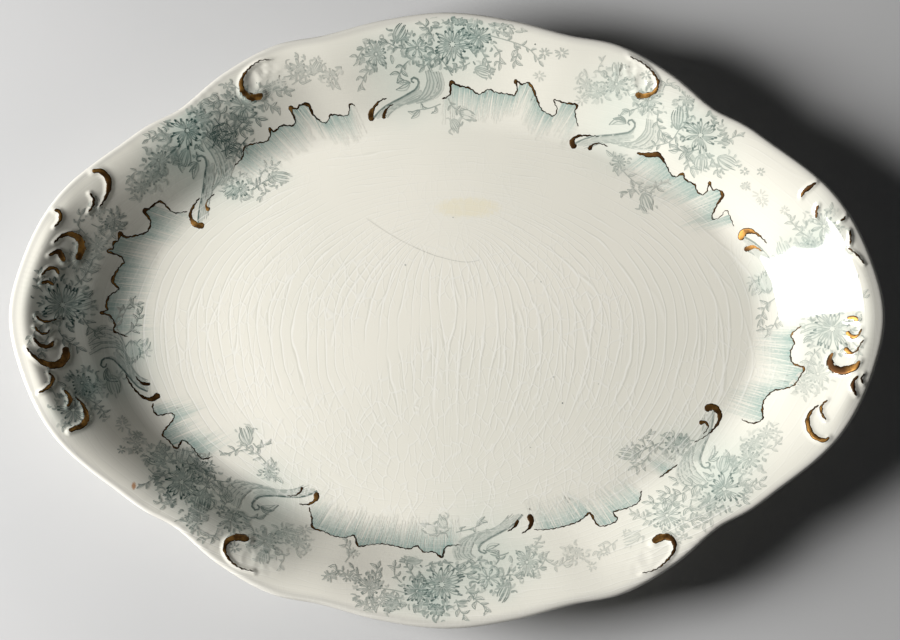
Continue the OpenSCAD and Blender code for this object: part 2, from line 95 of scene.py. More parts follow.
END_SCROLLS = {
    "back_left": [
        [(98, 209, 1.2), (104, 199, 3), (107, 189, 5), (106, 180, 6), (101, 174, 5.6),
         (96, 172, 5), (90, 173, 4)],
        [(87, 214, 1.4), (91, 208, 3), (92, 201, 3), (88, 195, 2)],
        [(53, 229, 1.4), (58, 223, 3), (59, 217, 4), (57, 213, 4), (52.6, 212, 3)],
    ],
    "back_right": [
        [(803, 199, 1.4), (805, 194, 4), (810, 190, 4.5), (814, 187, 4), (818, 184, 2)],
        [(818, 220, 2.4), (818, 213, 3.5), (820, 207, 2.5)],
        [(842, 223, 2), (845, 221, 2.4), (847, 218, 2)],
        [(851, 247, 1.5), (852, 240, 2.4), (851, 232, 2)],
    ],
    "front_left": [
        [(76, 399, 1.2), (83, 405, 3), (87, 413, 5), (88, 421, 6.4), (84, 427, 6.4),
         (77, 430, 5.4), (71, 433, 4)],
        [(65, 392, 2), (70, 397, 4.4), (72, 403, 5), (69, 409, 3)],
        [(40, 395, 1.5), (46, 392, 3.4), (52, 387, 4), (54, 380, 4), (50, 375, 2)],
    ],
    "front_right": [
        [(817, 407, 1.5), (810, 413, 3), (806, 421, 4.4), (807, 430, 5), (811, 437, 5),
         (817, 441, 5), (823, 442, 4.4), (827, 439, 3)],
        [(826, 402, 1.5), (820, 408, 3), (820, 415, 3), (824, 422, 1.5)],
        [(855, 398, 1.5), (852, 391, 4), (852, 384, 4), (857, 378, 2)],
        [(862, 386, 1.4), (860, 381, 2.4), (863, 376, 1.4)],
    ],
}
CARTOUCHES = {
    "left": [
        [(53, 245, 1.4), (59, 239, 3), (67, 236, 5), (75, 238, 7), (80, 245, 8.4),
         (80, 254, 8.8), (76, 262, 7.4)],
        [(48, 258, 2), (53, 255, 4), (58, 254, 6), (61, 259, 6.4), (63, 264, 5)],
        [(41, 278, 1.4), (45, 273, 3), (51, 270, 4), (56, 272, 4), (58, 277, 2)],
        [(41, 286, 3), (46, 284, 4), (50, 285, 4), (53, 288, 2)],
        [(36, 318, 1.4), (40, 322, 3), (46, 324, 3), (52, 323, 2.4), (57, 321, 1.4)],
        [(35, 329, 2), (38, 333, 3), (43, 336, 3), (48, 335, 2.4), (50, 332, 1.4)],
        [(34, 340, 2), (39, 346, 4.4), (46, 349, 5), (52, 347, 4.4), (54, 343, 2.4)],
        [(27, 350, 1.4), (33, 357, 3), (41, 363, 5), (50, 367, 7), (58, 367, 8),
         (64, 363, 8), (67, 356, 8), (66, 349, 7)],
    ],
    "right": [
        [(865, 266, 1.2), (858, 257, 2), (849, 250, 1.5)],
        [(858, 323, 4), (853, 320, 5), (847, 321, 4)],
        [(861, 331, 1.4), (859, 336, 2.6), (855, 339, 4), (850, 338, 5), (846, 334, 5)],
        [(863, 342, 1.2), (859, 348, 2), (855, 354, 2.4), (849, 355, 4), (844, 350, 6.6)],
        [(832, 355, 3), (829, 362, 6), (831, 369, 8), (838, 373, 8.8), (846, 372, 8.8),
         (854, 369, 7), (859, 363, 4)],
    ],
}

SCROLLS = {"shoulder_scroll": SHOULDER_SCROLLS, "end_scroll": END_SCROLLS,
           "cartouche": CARTOUCHES}

# Hollows beside the back left scroll, repeated at the other shoulders and fainter in front:
# place, half width and half height in pixels, tilt in degrees and depth
SHOULDER_HOLLOWS = [(250.5, 80, 6.4, 9.5, 10, 0.38), (260, 69, 4, 8, 12, 0.3),
                    (270, 71, 2.6, 9, 8, 0.22), (279, 74, 2.4, 8, 4, 0.15)]
FRONT_HOLLOWS = 0.35

# The raised edge of a hollow: height as a share of its depth, and middle and half width as
# shares of its half size, within which its floor is level up to a smaller share
HOLLOW_EDGE, HOLLOW_FLOOR = (0.35, 1.12, 0.35), 0.35

# Faint waves that a pressed plate keeps, crossed ones and a slanting one: height, and how far
# one radian of the sine goes along x and along y
CROSSED_WAVES, SLANTING_WAVE = (0.03, 11, 9), (0.015, 6.1, 7.3)


def smooth_lookup(knots, x):
    """Value between the knots of a table: a cubic on each gap, whose slopes come from the
    neighbouring knots and are level at both ends."""
    knots = np.asarray(knots, float)
    slopes = np.zeros(len(knots))
    slopes[1:-1] = (knots[2:, 1] - knots[:-2, 1]) / (knots[2:, 0] - knots[:-2, 0])
    i = np.clip(np.searchsorted(knots[:, 0], x, side="right") - 1, 0, len(knots) - 2)
    gap = knots[i + 1, 0] - knots[i, 0]
    u = (x - knots[i, 0]) / gap
    return (knots[i, 1] * (1 - u) ** 2 * (1 + 2 * u) + knots[i + 1, 1] * u * u * (3 - 2 * u)
            + gap * u * (1 - u) * (slopes[i] * (1 - u) - slopes[i + 1] * u))


def bump(x):
    """A rounded bump, 1 in the middle and 0 from x = 1 on: the square of a cosine."""
    return np.cos(np.pi / 2 * np.clip(np.abs(x), 0, 1)) ** 2


def fade(x):
    """A smooth step down from 1 at x = 0 to 0 at x = 1: one minus a cubic."""
    u = np.clip(x, 0, 1)
    return 1 - u * u * (3 - 2 * u)


def quarter(turn):
    """Turn in degrees folded into one quarter of the oval, 0 at an end and 90 at a side."""
    t = np.abs(turn) % 180
    return np.where(t > 90, 180 - t, t)


def oval_reach(turn, length, width):
    """Reach of an oval at a turn, as a share of the platter's plain oval."""
    t = np.radians(turn)
    return 1 / np.hypot(HALF_LENGTH * np.cos(t) / length, HALF_WIDTH * np.sin(t) / width)


def lip_reach(turn):
    """Reach of the lobed lip at a turn, as a share of the plain oval."""
    return smooth_lookup(LOBES, quarter(turn))


def well_reach(turn):
    """Reach of the edge of the well at a turn."""
    return oval_reach(turn, WELL_HALF_LENGTH, WELL_HALF_WIDTH)


def plan_point(turn, reach):
    """Plan position at a turn: the reach times the point of the plain oval."""
    t = np.radians(turn)
    return reach * HALF_LENGTH * np.cos(t), reach * HALF_WIDTH * np.sin(t)


def border_point(turn, share):
    """Plan position at a turn and at a share of the way from well to lip."""
    well = well_reach(turn)
    return plan_point(turn, well + share * (lip_reach(turn) - well))


def turn_and_share(x, y):
    """Turn of a plan position, and its share of the way from well to lip, 1 at most."""
    turn = np.degrees(np.arctan2(y / HALF_WIDTH, x / HALF_LENGTH))
    well = well_reach(turn)
    reach = np.hypot(x / HALF_LENGTH, y / HALF_WIDTH)
    return turn, np.minimum(1, (reach - well) / (lip_reach(turn) - well))


def border_width(turn):
    """Distance from well to lip in the plan, along the turn."""
    x, y = plan_point(turn, 1)
    return (lip_reach(turn) - well_reach(turn)) * np.hypot(x, y)


def rim_rise(turn):
    """Rise of the lip over the well: highest at the ends, and dipping at the notches."""
    c = np.cos(np.radians(turn))
    return (SIDE_RISE + (END_RISE - SIDE_RISE) * c * c
            - LOBE_DIP * (1 - lip_reach(turn)) / (1 - DEEPEST_NOTCH))


def section_rise(s):
    """Section of the border from 0 to 1: a parabola out of the well, a straight slope, and
    a parabola that rolls over to the lip."""
    cove = s * s / (2 * COVE)
    roll = np.maximum(0, s - 1 + LIP_ROLL)
    return MAIN_SLOPE * np.where(
        s < COVE, cove, s - COVE / 2 - (1 - LIP_SLOPE) * roll**2 / (2 * LIP_ROLL))


def section_slope(s):
    """Slope of that section."""
    roll = np.maximum(0, s - 1 + LIP_ROLL)
    return MAIN_SLOPE * np.minimum(s / COVE, 1 - (1 - LIP_SLOPE) * roll / LIP_ROLL)


def plain_height(x, y):
    """Height of the upper surface without its moulded scrolls: the section times the rise
    of the lip, with the roll and the hollow of the two end lobes."""
    turn, s = turn_and_share(x, y)
    roll, hollow = (size * bump((s - share) / width) for size, share, width in
                    (END_ROLL, END_HOLLOW))
    relief = fade((quarter(turn) - END_LOBE_TURN) / END_LOBE_FADE) * (roll - hollow)
    s = np.maximum(s, 0)
    return FLOOR_TOP + np.where(s > 0, rim_rise(turn) * section_rise(s) + relief, 0)


def from_view(px, py):
    """Plan position of a pixel of the view. A point below the lip is seen smaller and
    slips towards the front, by its depth times the lean, so its depth under the view's
    height is guessed and bettered four times."""
    flat_x = (np.asarray(px, float) - VIEW_MIDDLE[0]) / VIEW_HALF[0] * HALF_LENGTH
    flat_y = (VIEW_MIDDLE[1] - np.asarray(py, float)) / VIEW_HALF[1] * HALF_WIDTH
    depth = np.full(np.shape(flat_x), SIDE_RISE / 2)
    for _ in range(4):
        grow = 1 + depth / VIEW_DISTANCE
        x, y = flat_x * grow, flat_y * grow + depth * VIEW_LEAN
        depth = VIEW_HEIGHT - plain_height(x, y)
    return x, y


def curve_through(padded, i, u):
    """Catmull-Rom curve through knots, which have one more at each end: the cubic of gap i
    at its share u, in one row for each i and u."""
    a, b, c, d = (padded[i + k] for k in range(4))
    u = u[:, None]
    return 0.5 * (2 * b + (c - a) * u + (2 * a - 5 * b + 4 * c - d) * u**2
                  + (3 * b - a - 3 * c + d) * u**3)


def brush_line(points, step=0.5, thinnest=0.12):
    """Centre line and half width of a brush stroke: a curve through the points, read off
    about every step millimetres, with x, y and half width in its columns, and no thinner
    than thinnest."""
    points = np.asarray(points, float)
    x, y = from_view(points[:, 0], points[:, 1])
    knots = np.column_stack([x, y, points[:, 2] * PIXEL / 2])
    gaps = np.hypot(*np.diff(knots[:, :2], axis=0).T)
    runs = np.maximum(2, np.ceil(gaps / step)).astype(int)
    gap = np.repeat(np.arange(len(runs)), runs)
    share = np.concatenate([np.arange(n) / n for n in runs])
    curve = curve_through(np.vstack([knots[0], knots, knots[-1]]), gap, share)
    curve = np.vstack([curve, knots[-1]])
    curve[:, 2] = np.maximum(curve[:, 2], thinnest)
    return curve


def past_line(x, y, line):
    """Distance from points to the nearest piece of a line, and the half width there."""
    a, b = line[:-1], line[1:]
    way = b[:, :2] - a[:, :2]
    dx, dy = x[:, None] - a[:, 0], y[:, None] - a[:, 1]
    u = np.clip((dx * way[:, 0] + dy * way[:, 1]) / np.maximum((way**2).sum(1), 1e-9), 0, 1)
    far = np.hypot(dx - u * way[:, 0], dy - u * way[:, 1])
    near = far.argmin(1)
    row = np.arange(len(x))
    return far[row, near], a[near, 2] + u[row, near] * (b[near, 2] - a[near, 2])


SCROLL_LINES = [brush_line(stroke, step=1.5) for group in SCROLLS.values()
                for strokes in group.values() for stroke in strokes]
SCROLL_CREST = 0.45


def scroll_relief(x, y):
    """Height of the moulded scrolls: a rounded ridge under each stroke, full over its
    crest, a share of the stroke's half width, and falling away beyond over its flank."""
    relief = np.zeros(len(x))
    for line in SCROLL_LINES:
        room = line[:, 2].max() + SCROLL_FLANK
        low, high = line[:, :2].min(0) - room, line[:, :2].max(0) + room
        near = np.flatnonzero((x > low[0]) & (x < high[0]) & (y > low[1]) & (y < high[1]))
        if len(near):
            far, half = past_line(x[near], y[near], line)
            flank = (1 - SCROLL_CREST) * half + SCROLL_FLANK
            rise = SCROLL_HEIGHT * fade((far - SCROLL_CREST * half) / flank)
            relief[near] = np.maximum(relief[near], rise)
    return relief


def moulded_details(x, y):
    """Small moulded forms: the faint waves, as sines that start at the well's edge, the
    shoulder hollows, each an oval with a raised edge, and the flutes, as cosines along the
    lip."""
    turn, s = turn_and_share(x, y)
    height, run_x, run_y = CROSSED_WAVES
    crossed = height * np.sin(x / run_x + 1.3) * np.sin(y / run_y + 0.4)
    height, run_x, run_y = SLANTING_WAVE
    slanting = height * np.sin(x / run_x - y / run_y)
    relief = (crossed + slanting) * np.clip(s * 4, 0, 1)
    fold_x, fold_y = -np.abs(x), np.abs(y)
    crisp = np.where(y > 0, 1, FRONT_HOLLOWS)
    edge_height, edge_middle, edge_width = HOLLOW_EDGE
    for px, py, across, along, tilt, depth in SHOULDER_HOLLOWS:
        cx, cy = from_view(px, py)
        c, sn = np.cos(np.radians(tilt)), np.sin(np.radians(tilt))
        u = ((fold_x - cx) * c + (fold_y - cy) * sn) / (across * PIXEL)
        v = ((fold_y - cy) * c - (fold_x - cx) * sn) / (along * PIXEL)
        r = np.hypot(u, v)
        edge = edge_height * bump((r - edge_middle) / edge_width)
        floor = fade((r - HOLLOW_FLOOR) / (1 - HOLLOW_FLOOR))
        relief = relief + crisp * depth * (edge - floor)
    q = quarter(turn)
    run = np.radians(q) * FLUTE_RADIUS
    for middle, spread, share, width, pitch, depth in FLUTES:
        where = bump((q - middle) / spread) * bump((s - share) / width)
        relief = relief + where * depth * np.cos(run * 2 * np.pi / pitch)
    return relief


def surface_height(x, y):
    """Height of the finished upper surface over a plan position."""
    shape = np.shape(x)
    x, y = np.ravel(x), np.ravel(y)
    return (plain_height(x, y) + scroll_relief(x, y) + moulded_details(x, y)).reshape(shape)


def make_mesh(name, points, faces, attributes=(), smooth=True):
    """A mesh object from arrays of points in millimetres and of faces, with an attribute
    of one number a point for each name given."""
    mesh = bpy.data.meshes.new(name)
    points = np.asarray(points, np.float32) * MM
    mesh.from_pydata(points, [], np.asarray(faces))
    mesh.update()
    for key, values in dict(attributes).items():
        layer = mesh.attributes.new(key, "FLOAT", "POINT")
        layer.data.foreach_set("value", np.asarray(values, np.float32))
    mesh.polygons.foreach_set("use_smooth", np.full(len(mesh.polygons), smooth))
    obj = bpy.data.objects.new(name, mesh)
    bpy.context.scene.collection.objects.link(obj)
    return obj


def grid_faces(rows, columns, wrap=True):
    """Triangles of a grid of points, row after row, cut along alternate diagonals."""
    r = np.arange(rows - 1)[:, None]
    c = np.arange(columns if wrap else columns - 1)[None, :]
    n = (c + 1) % columns
    a, b, d, e = (v.ravel() for v in np.broadcast_arrays(
        r * columns + c, r * columns + n, (r + 1) * columns + c, (r + 1) * columns + n))
    return np.vstack([np.column_stack([a, b, e]), np.column_stack([a, e, d])])


# The body is rings of points, from the middle of the well up to the lip, over it, and back
# underneath. Rings of the well and of the hollow in the foot are shares of the well's
# reach, and those under the border are shares of the way to the lip
COLUMNS = 740
BORDER_RINGS = 84
LIP_RINGS = 10
WELL_RINGS = (0.06, 0.25, 0.45, 0.62, 0.76, 0.87, 0.95)
UNDER_RINGS = (0.93, 0.88, 0.8, 0.7, 0.6, 0.52, 0.44, 0.36, 0.28, 0.2, 0.12, 0.02)
HOLLOW_RINGS = (0.8, 0.55, 0.3, 0.08)

# Band of painted shade along the lip, that tones down its brightly lit roll: the share where
# it starts, and its width
LIP_BAND_START, LIP_BAND_WIDTH = 0.9, 0.07

# Section of the foot ring from outside in, with rounded corners: distance in from the edge
# of the well, and height
BORDER_FOOT = FLOOR_TOP - BORDER_WALL
FLAT_EDGE = FOOT_INSET + FOOT_FLANK
INNER_EDGE = FLAT_EDGE + FOOT_FLAT
FOOT_RING = [
    (FOOT_INSET, BORDER_FOOT), (FOOT_INSET + 0.35, BORDER_FOOT - 0.5),
    (FLAT_EDGE - 0.3, 0.7), (FLAT_EDGE - 0.1, 0.15), (FLAT_EDGE + 0.15, 0.0),
    (INNER_EDGE - 0.15, 0.0), (INNER_EDGE + 0.1, 0.15), (INNER_EDGE + 0.3, 0.7),
    (INNER_EDGE + FOOT_FLANK - 0.3, FOOT_HEIGHT - 0.35),
    (INNER_EDGE + FOOT_FLANK + 0.3, FOOT_HEIGHT),
]


def column_turns(closer=2.3):
    """Turns of the body's columns, by stepping evenly along a running density: 1 at the
    sides, and more by closer at the ends and at the moulded shoulders."""
    fine = np.linspace(0, 360, 14401)
    q = quarter(fine)
    dense = 1 + closer * fade((q - 28) / 8) + closer * bump((q - 55) / 12)
    x, y = plan_point(fine, lip_reach(fine))
    run = np.concatenate([[0], np.cumsum(np.hypot(np.diff(x), np.diff(y)) * dense[1:])])
    return np.interp(np.linspace(0, run[-1], COLUMNS + 1)[:-1], run, fine)


turns = column_turns()
width = border_width(turns)
rings = []
for share in WELL_RINGS:
    rings.append((*plan_point(turns, well_reach(turns) * share), np.full(COLUMNS, FLOOR_TOP)))
lip_radius = LIP_THICKNESS / 2
for share in np.linspace(0, 1, BORDER_RINGS):
    x, y = border_point(turns, share * (1 - lip_radius / width))
    rings.append((x, y, surface_height(x, y)))
slant = np.hypot(1, rim_rise(turns) * section_slope(1.0) / width)
for around in np.radians(np.linspace(0, 180, LIP_RINGS + 1)[1:]):
    x, y = border_point(turns, 1 - lip_radius * (1 - np.sin(around)) / width)
    rings.append((x, y, surface_height(x, y) - lip_radius * (1 - np.cos(around)) * slant))
for share in UNDER_RINGS:
    x, y = border_point(turns, share)
    wall = BORDER_WALL + (LIP_THICKNESS - BORDER_WALL) * share
    drop = wall * np.hypot(1, rim_rise(turns) * section_slope(share) / width)
    rings.append((x, y, plain_height(x, y) - drop))
for inset, z in FOOT_RING:
    reach = oval_reach(turns, WELL_HALF_LENGTH - inset, WELL_HALF_WIDTH - inset)
    rings.append((*plan_point(turns, reach), np.full(COLUMNS, z)))
for share in HOLLOW_RINGS:
    rings.append((*plan_point(turns, well_reach(turns) * share), np.full(COLUMNS, FOOT_HEIGHT)))
body_points = np.vstack([np.column_stack(ring) for ring in rings])
top_pole, under_pole = len(body_points), len(body_points) + 1
body_points = np.vstack([body_points, [0, 0, FLOOR_TOP], [0, 0, FOOT_HEIGHT]])
first, after = np.arange(COLUMNS), (np.arange(COLUMNS) + 1) % COLUMNS
last_ring = (len(rings) - 1) * COLUMNS
body_faces = np.vstack([
    grid_faces(len(rings), COLUMNS)[:, ::-1],
    np.column_stack([np.full(COLUMNS, top_pole), first, after]),
    np.column_stack([np.full(COLUMNS, under_pole), last_ring + after, last_ring + first]),
])
body_share = turn_and_share(body_points[:, 0], body_points[:, 1])[1]
upper_rings = len(WELL_RINGS) + BORDER_RINGS + LIP_RINGS // 2
upper_side = np.arange(len(body_points)) < upper_rings * COLUMNS
upper_side[top_pole] = True
platter = make_mesh("glazed_platter", body_points, body_faces, {
    "lip": 1 - fade((body_share - LIP_BAND_START) / LIP_BAND_WIDTH),
    "upper": upper_side.astype(float)})


class Wire:
    """A socket in a material's node tree. An expression on wires adds its Math nodes."""

    def __init__(self, tree, socket=None):
        self.tree, self.socket = tree, socket

    def node(self, kind, settings=(), inputs=(), out=0):
        """A node of a kind: its settings first, then the values or links of its sockets."""
        node = self.tree.nodes.new(kind)
        for name, value in dict(settings).items():
            setattr(node, name, value)
        for key, value in dict(inputs).items():
            if isinstance(value, Wire):
                self.tree.links.new(value.socket, node.inputs[key])
            else:
                node.inputs[key].default_value = value
        return Wire(self.tree, node.outputs[out])

    def math(self, operation, *others):
        """A Math node on this wire and others."""
        return self.node("ShaderNodeMath", {"operation": operation}, enumerate((self, *others)))

    def __add__(self, other):
        return self.math("ADD", other)

    def __sub__(self, other):
        return self.math("SUBTRACT", other)

    def __rsub__(self, other):
        return self.node("ShaderNodeMath", {"operation": "SUBTRACT"}, {0: other, 1: self})

    def __mul__(self, other):
        return self.math("MULTIPLY", other)

    def __truediv__(self, other):
        return self.math("DIVIDE", other)

    def __pow__(self, other):
        return self.math("POWER", other)

    __radd__, __rmul__ = __add__, __mul__

    def step(self, low, high):
        """0 below low, 1 above high, and smooth between."""
        return self.node("ShaderNodeMapRange", {"interpolation_type": "SMOOTHSTEP"},
                         {"Value": self, "From Min": low, "From Max": high})

    def mix(self, a, b):
        """Colour a where this wire is 0, colour b where it is 1."""
        return self.node("ShaderNodeMix", {"data_type": "RGBA"}, {0: self, 6: a, 7: b}, 2)

    def attribute(self, name):
        """The number that the mesh carries at each point under a name."""
        return self.node("ShaderNodeAttribute", {"attribute_name": name}, {}, "Fac")

    def axis(self, number):
        """One number of this position: 0, 1 or 2 for x, y or z."""
        return self.node("ShaderNodeSeparateXYZ", {}, {0: self}, number)

    def noise(self, scale, detail=2.0, roughness=0.5, out="Fac"):
        """A noise at this position, from 0 to 1, with scale waves a metre."""
        return self.node("ShaderNodeTexNoise", {}, {
            "Vector": self, "Scale": scale, "Detail": detail, "Roughness": roughness}, out)

    def stretched(self, by, shift):
        """This position times one vector and shifted by another."""
        return self.node("ShaderNodeVectorMath", {"operation": "MULTIPLY_ADD"},
                         {0: self, 1: by, 2: shift})


def colour(red, green, blue):
    """A colour of 0 to 255 as Blender's linear light."""
    c = np.array([red, green, blue]) / 255
    linear = np.where(c <= 0.04045, c / 12.92, ((c + 0.055) / 1.055) ** 2.4)
    return (*linear.tolist(), 1.0)


def new_material(name):
    """An empty material, the object position in it, and its surface shader."""
    material = bpy.data.materials.new(name)
    material.use_nodes = True
    place = Wire(material.node_tree).node("ShaderNodeTexCoord", out="Object")
    return material, place, material.node_tree.nodes["Principled BSDF"]


def connect(shader, **links):
    """Feeds the shader's sockets, with spaces of their names written as underscores."""
    for name, wire in links.items():
        wire.tree.links.new(wire.socket, shader.inputs[name.replace("_", " ")])


GLAZE_WHITE = colour(235, 232, 221)
CLOUD_WHITE = colour(229, 227, 216)
# Colours of the crazing: painted shade beside a vein, and the vein painted lighter as its lit side
CRAZE_SHADE_GREY = colour(172, 172, 160)
CRAZE_HIGHLIGHT = colour(249, 248, 243)
PRINT_WASH = colour(168, 195, 187)
BARE_CLAY = colour(214, 200, 176)
# Painted shade for the band along the lip
LIP_SHADE_GREY = colour(208, 206, 198)
STAIN, RUST = colour(233, 226, 202), colour(180, 116, 50)

# The ovals of the crazing, in metres: squared half height of the innermost one, what the
# opening in front adds to it, the squared share of height to length that the outer ones
# come near to, and how far behind the middle the innermost lines meet
OVAL_TALL, OVAL_OPENING, OVAL_SPREAD, OVALS_MEET = 0.0013, 0.0023, 0.29, 0.037

# A craze line: how far its dark vein, painted shade, lies from its light one, painted as the
# vein's lit side, and the half width of a vein where it is full and where it is gone, in
# metres. The spacings of the two families of lines, and the stretch that makes the cells of
# the net, with the shift of its painted shade
VEIN_APART, VEIN_FULL, VEIN_GONE = 0.00055, 0.0001, 0.0004
FIRST_SPACING, SECOND_SPACING = 0.0044, 0.0085
CELL_STRETCH, CELL_SHIFT = (300.0, 135.0, 190.0), -0.13


def craze_stripes(along, wobble, spacing, swing):
    """A family of long craze lines, a spacing in metres apart: along over the spacing, pushed
    about by a noise, and its fraction as the distance to the nearest line. It becomes a
    vein painted lighter as its lit side, and a dark one of painted shade just outside it that is
    returned first."""
    place = ((along / spacing + (wobble - 0.5) * swing).math("FRACT") - 0.5) * spacing
    dark = 1 - (place - VEIN_APART).math("ABSOLUTE").step(VEIN_FULL, VEIN_GONE)
    light = 1 - place.math("ABSOLUTE").step(VEIN_FULL, VEIN_GONE)
    return dark, light


def craze_lines(place):
    """Crazing of the glaze as a mask of painted shade beside the veins and a mask of veins painted
    lighter as their lit side. Two families of long lines are nested ovals, tall and narrow in
    the middle and like the well at its edge. An oval of half length L has the squared half
    height tall + spread L^2, which makes L^2 the root of a quadratic. The ovals open in front,
    where a net of small cells takes over."""
    x, y = place.axis(0), place.axis(1)
    tall = OVAL_TALL + (1 - y.step(-0.02, 0.01)) * OVAL_OPENING
    part = tall - x * x * OVAL_SPREAD - y * y
    root = (part * part + tall * x * x * (4 * OVAL_SPREAD)) ** 0.5
    along = ((root - part) / (2 * OVAL_SPREAD)).math("MAXIMUM", 0.0) ** 0.5
    drawn_out = place.node("ShaderNodeCombineXYZ", {}, {0: along, 1: y * 0.3, 2: x * 0.5})
    centre = 1 - x.math("ABSOLUTE").step(0.05, 0.09)
    first = craze_stripes(along, drawn_out.noise(62, 3), FIRST_SPACING, 1.6 + centre * 1.2)
    second = craze_stripes(along + y * 0.12, drawn_out.noise(41, 2), SECOND_SPACING, 2.1)

    bent = place.noise(70, out="Color").stretched((0.007, 0.007, 0.0), place)
    cells = (bent.stretched(CELL_STRETCH, (shift, 0.0, 0.0)) for shift in (CELL_SHIFT, 0.0))
    net = (1 - cell.node("ShaderNodeTexVoronoi", {"feature": "DISTANCE_TO_EDGE"}, {
        "Vector": cell, "Scale": 1.0}).step(0.015, 0.075) for cell in cells)

    well_x, well_y = x / (WELL_HALF_LENGTH * MM), y / (WELL_HALF_WIDTH * MM)
    in_well = 1 - (well_x**2 + well_y**2).step(0.85, 1.3)
    patchy = place.noise(26, 2)
    front = (1 - y.step(-0.04, -0.012)) * centre
    broken = place.noise(190, 2).step(0.38, 0.5) * (1 - y.step(0.02, 0.045) * 0.7)
    net_mask = (patchy + front * 0.25 + centre * 0.1).step(0.46, 0.62)
    net_mask = net_mask * (0.2 + 0.8 * in_well) * broken
    front_border = (1 - y.step(-0.085, -0.06)) * 0.8
    spread = in_well.math("MAXIMUM", front_border).math("MAXIMUM", 0.25)
    back = y.step(0.03, 0.055)
    meeting = (x * x + (y - OVALS_MEET) ** 2).step(0.00004, 0.0003) * 0.7 + 0.3
    faint = (1 - 0.55 * (back * centre).math("MAXIMUM", front)) * meeting
    long_mask = spread * faint * (place.noise(38, 2) - back * 0.1).step(0.3, 0.48)
    other_mask = spread * faint * patchy.step(0.4, 0.54)
    return [(a * long_mask + b * other_mask * 0.8 + c * net_mask * 0.7).math("MINIMUM", 1.0)
            for a, b, c in zip(first, second, net)]


def glaze(name, paint):
    """The clear glossy glaze over the white clay. paint takes the object position and the
    white with its wash, and gives the colour under the crazing there."""
    material, place, shader = new_material(name)
    dark, light = craze_lines(place)
    white = place.noise(9, 3).step(0.35, 0.65).mix(GLAZE_WHITE, CLOUD_WHITE)
    wash = place.attribute("wash") * (0.7 + 0.6 * place.noise(300, 2))
    tint = paint(place, wash.mix(white, PRINT_WASH))
    # Craze veins painted lighter as their lit side, with painted shade just beside them
    tint = (light * 0.5).mix((dark * 0.26).mix(tint, CRAZE_SHADE_GREY), CRAZE_HIGHLIGHT)
    height = place.noise(60, 2) * 4 + place.noise(340, 2) * 0.35 + light * 1.7
    uneven = place.node("ShaderNodeBump", {}, {
        "Strength": 1.0, "Distance": 0.000006, "Height": height})
    connect(shader, Base_Color=tint, Roughness=0.05 + place.noise(120, 2) * 0.05, Normal=uneven)
    shader.inputs["IOR"].default_value = 1.5
    return material


# Stains: pixel of the view, half width, half height and softness of the edge
TEA_STAIN, RUST_SPOT = (468, 209, 12.5, 4.0, 0.6), (136, 487, 0.8, 1.5, 0.8)

# Heights in metres up to which the foot ring is bare, and from which it is glazed
BARE_UP_TO, GLAZED_FROM = 0.0002, 0.0007


def blot(place, px, py, across, along, edge):
    """A soft blot: 1 less the squared distance over its half sizes, frayed by a noise."""
    cx, cy = (float(v) * MM for v in from_view(px, py))
    far = (((place.axis(0) - cx) * (1000 / across)) ** 2
           + ((place.axis(1) - cy) * (1000 / along)) ** 2)
    return 1 - (far + (place.noise(2600 / along, 3) - 0.5) * 1.6).step(1 - edge, 1 + edge)


def body_paint(place, white):
    """White clay under the glaze: greyer at the lip as painted shade, with one tea stain in the well
    and one rust spot at the rim, and unglazed on the flat of the foot ring."""
    upper = place.attribute("upper")
    tint = place.attribute("lip").mix(white, LIP_SHADE_GREY)
    tint = (upper * blot(place, *TEA_STAIN) * 0.75).mix(tint, STAIN)
    tint = (upper * blot(place, *RUST_SPOT) * 0.8).mix(tint, RUST)
    return (1 - place.axis(2).step(BARE_UP_TO, GLAZED_FROM)).mix(tint, BARE_CLAY)


platter.data.materials.append(glaze("glaze_over_clay", body_paint))
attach(platter, "root")
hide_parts("platter_body")


# Printed border. A teal-grey transfer under the glaze: open daisies, buds, sprigs
# and feathered leaves in fine engraved lines. One half is placed and the other is the
# same turned half round the oval. Each line is a thin strip lying on the surface.
PRINT_DARK = colour(38, 68, 64)

# Points along each line, and the largest share of the border that the print reaches
STATIONS, PRINT_REACH = 8, 0.955
draw = np.random.default_rng(7)
lines = []


def add_lines(x, y, width, tone):
    """Lines of the print in view pixels, one a row: x, y, width and tone at each station."""
    shape = np.broadcast_shapes(*(np.shape(v) for v in (x, y, width, tone)), (1, 1))
    rows = np.stack([np.broadcast_to(v, shape) for v in (x, y, width, tone)], axis=-1)
    lines.append(rows.reshape(-1, STATIONS, 4))


def through(points):
    """Stations of a smooth line through a few points, with the first and the last gap
    repeated beyond the ends."""
    p = np.asarray(points, float)
    padded = np.vstack([2 * p[0] - p[1], p, 2 * p[-1] - p[-2]])
    t = np.linspace(0, len(p) - 1, STATIONS)
    i = np.minimum(t.astype(int), len(p) - 2)
    return curve_through(padded, i, t - i)


def taper(width, start=0.35, end=0.35):
    """Width of a line at its stations: full in the middle, a share of it at the ends."""
    t = np.linspace(0, 1, STATIONS)
    return width * (start + (1 - start) * np.minimum(1, t * 4)) * (
        end + (1 - end) * np.minimum(1, (1 - t) * 4))


def commas(cx, cy, radius, count, tone):
    """Short bowed strokes strewn round a flower, pointing away from it: the many small
    leaves that fill the gaps of the print."""
    t = np.linspace(-0.5, 0.5, STATIONS)
    a = draw.uniform(0, 2 * np.pi, (count, 1))
    far = radius * draw.uniform(0.95, 1.5, (count, 1))
    way = a + draw.normal(0, 0.7, (count, 1))
    length = draw.uniform(3.5, 7, (count, 1))
    bow = draw.normal(0, 1.4, (count, 1)) * (1 - 4 * t**2)
    x, y = cx + far * np.cos(a), cy + far * np.sin(a) * 0.9
    along, c, s = length * t, np.cos(way), np.sin(way)
    add_lines(x + along * c - bow * s, y + along * s + bow * c,
              taper(1.9, 0.3, 0.5) * draw.uniform(0.6, 1.3, (count, 1)),
              tone * draw.uniform(0.3, 0.9, (count, 1)))


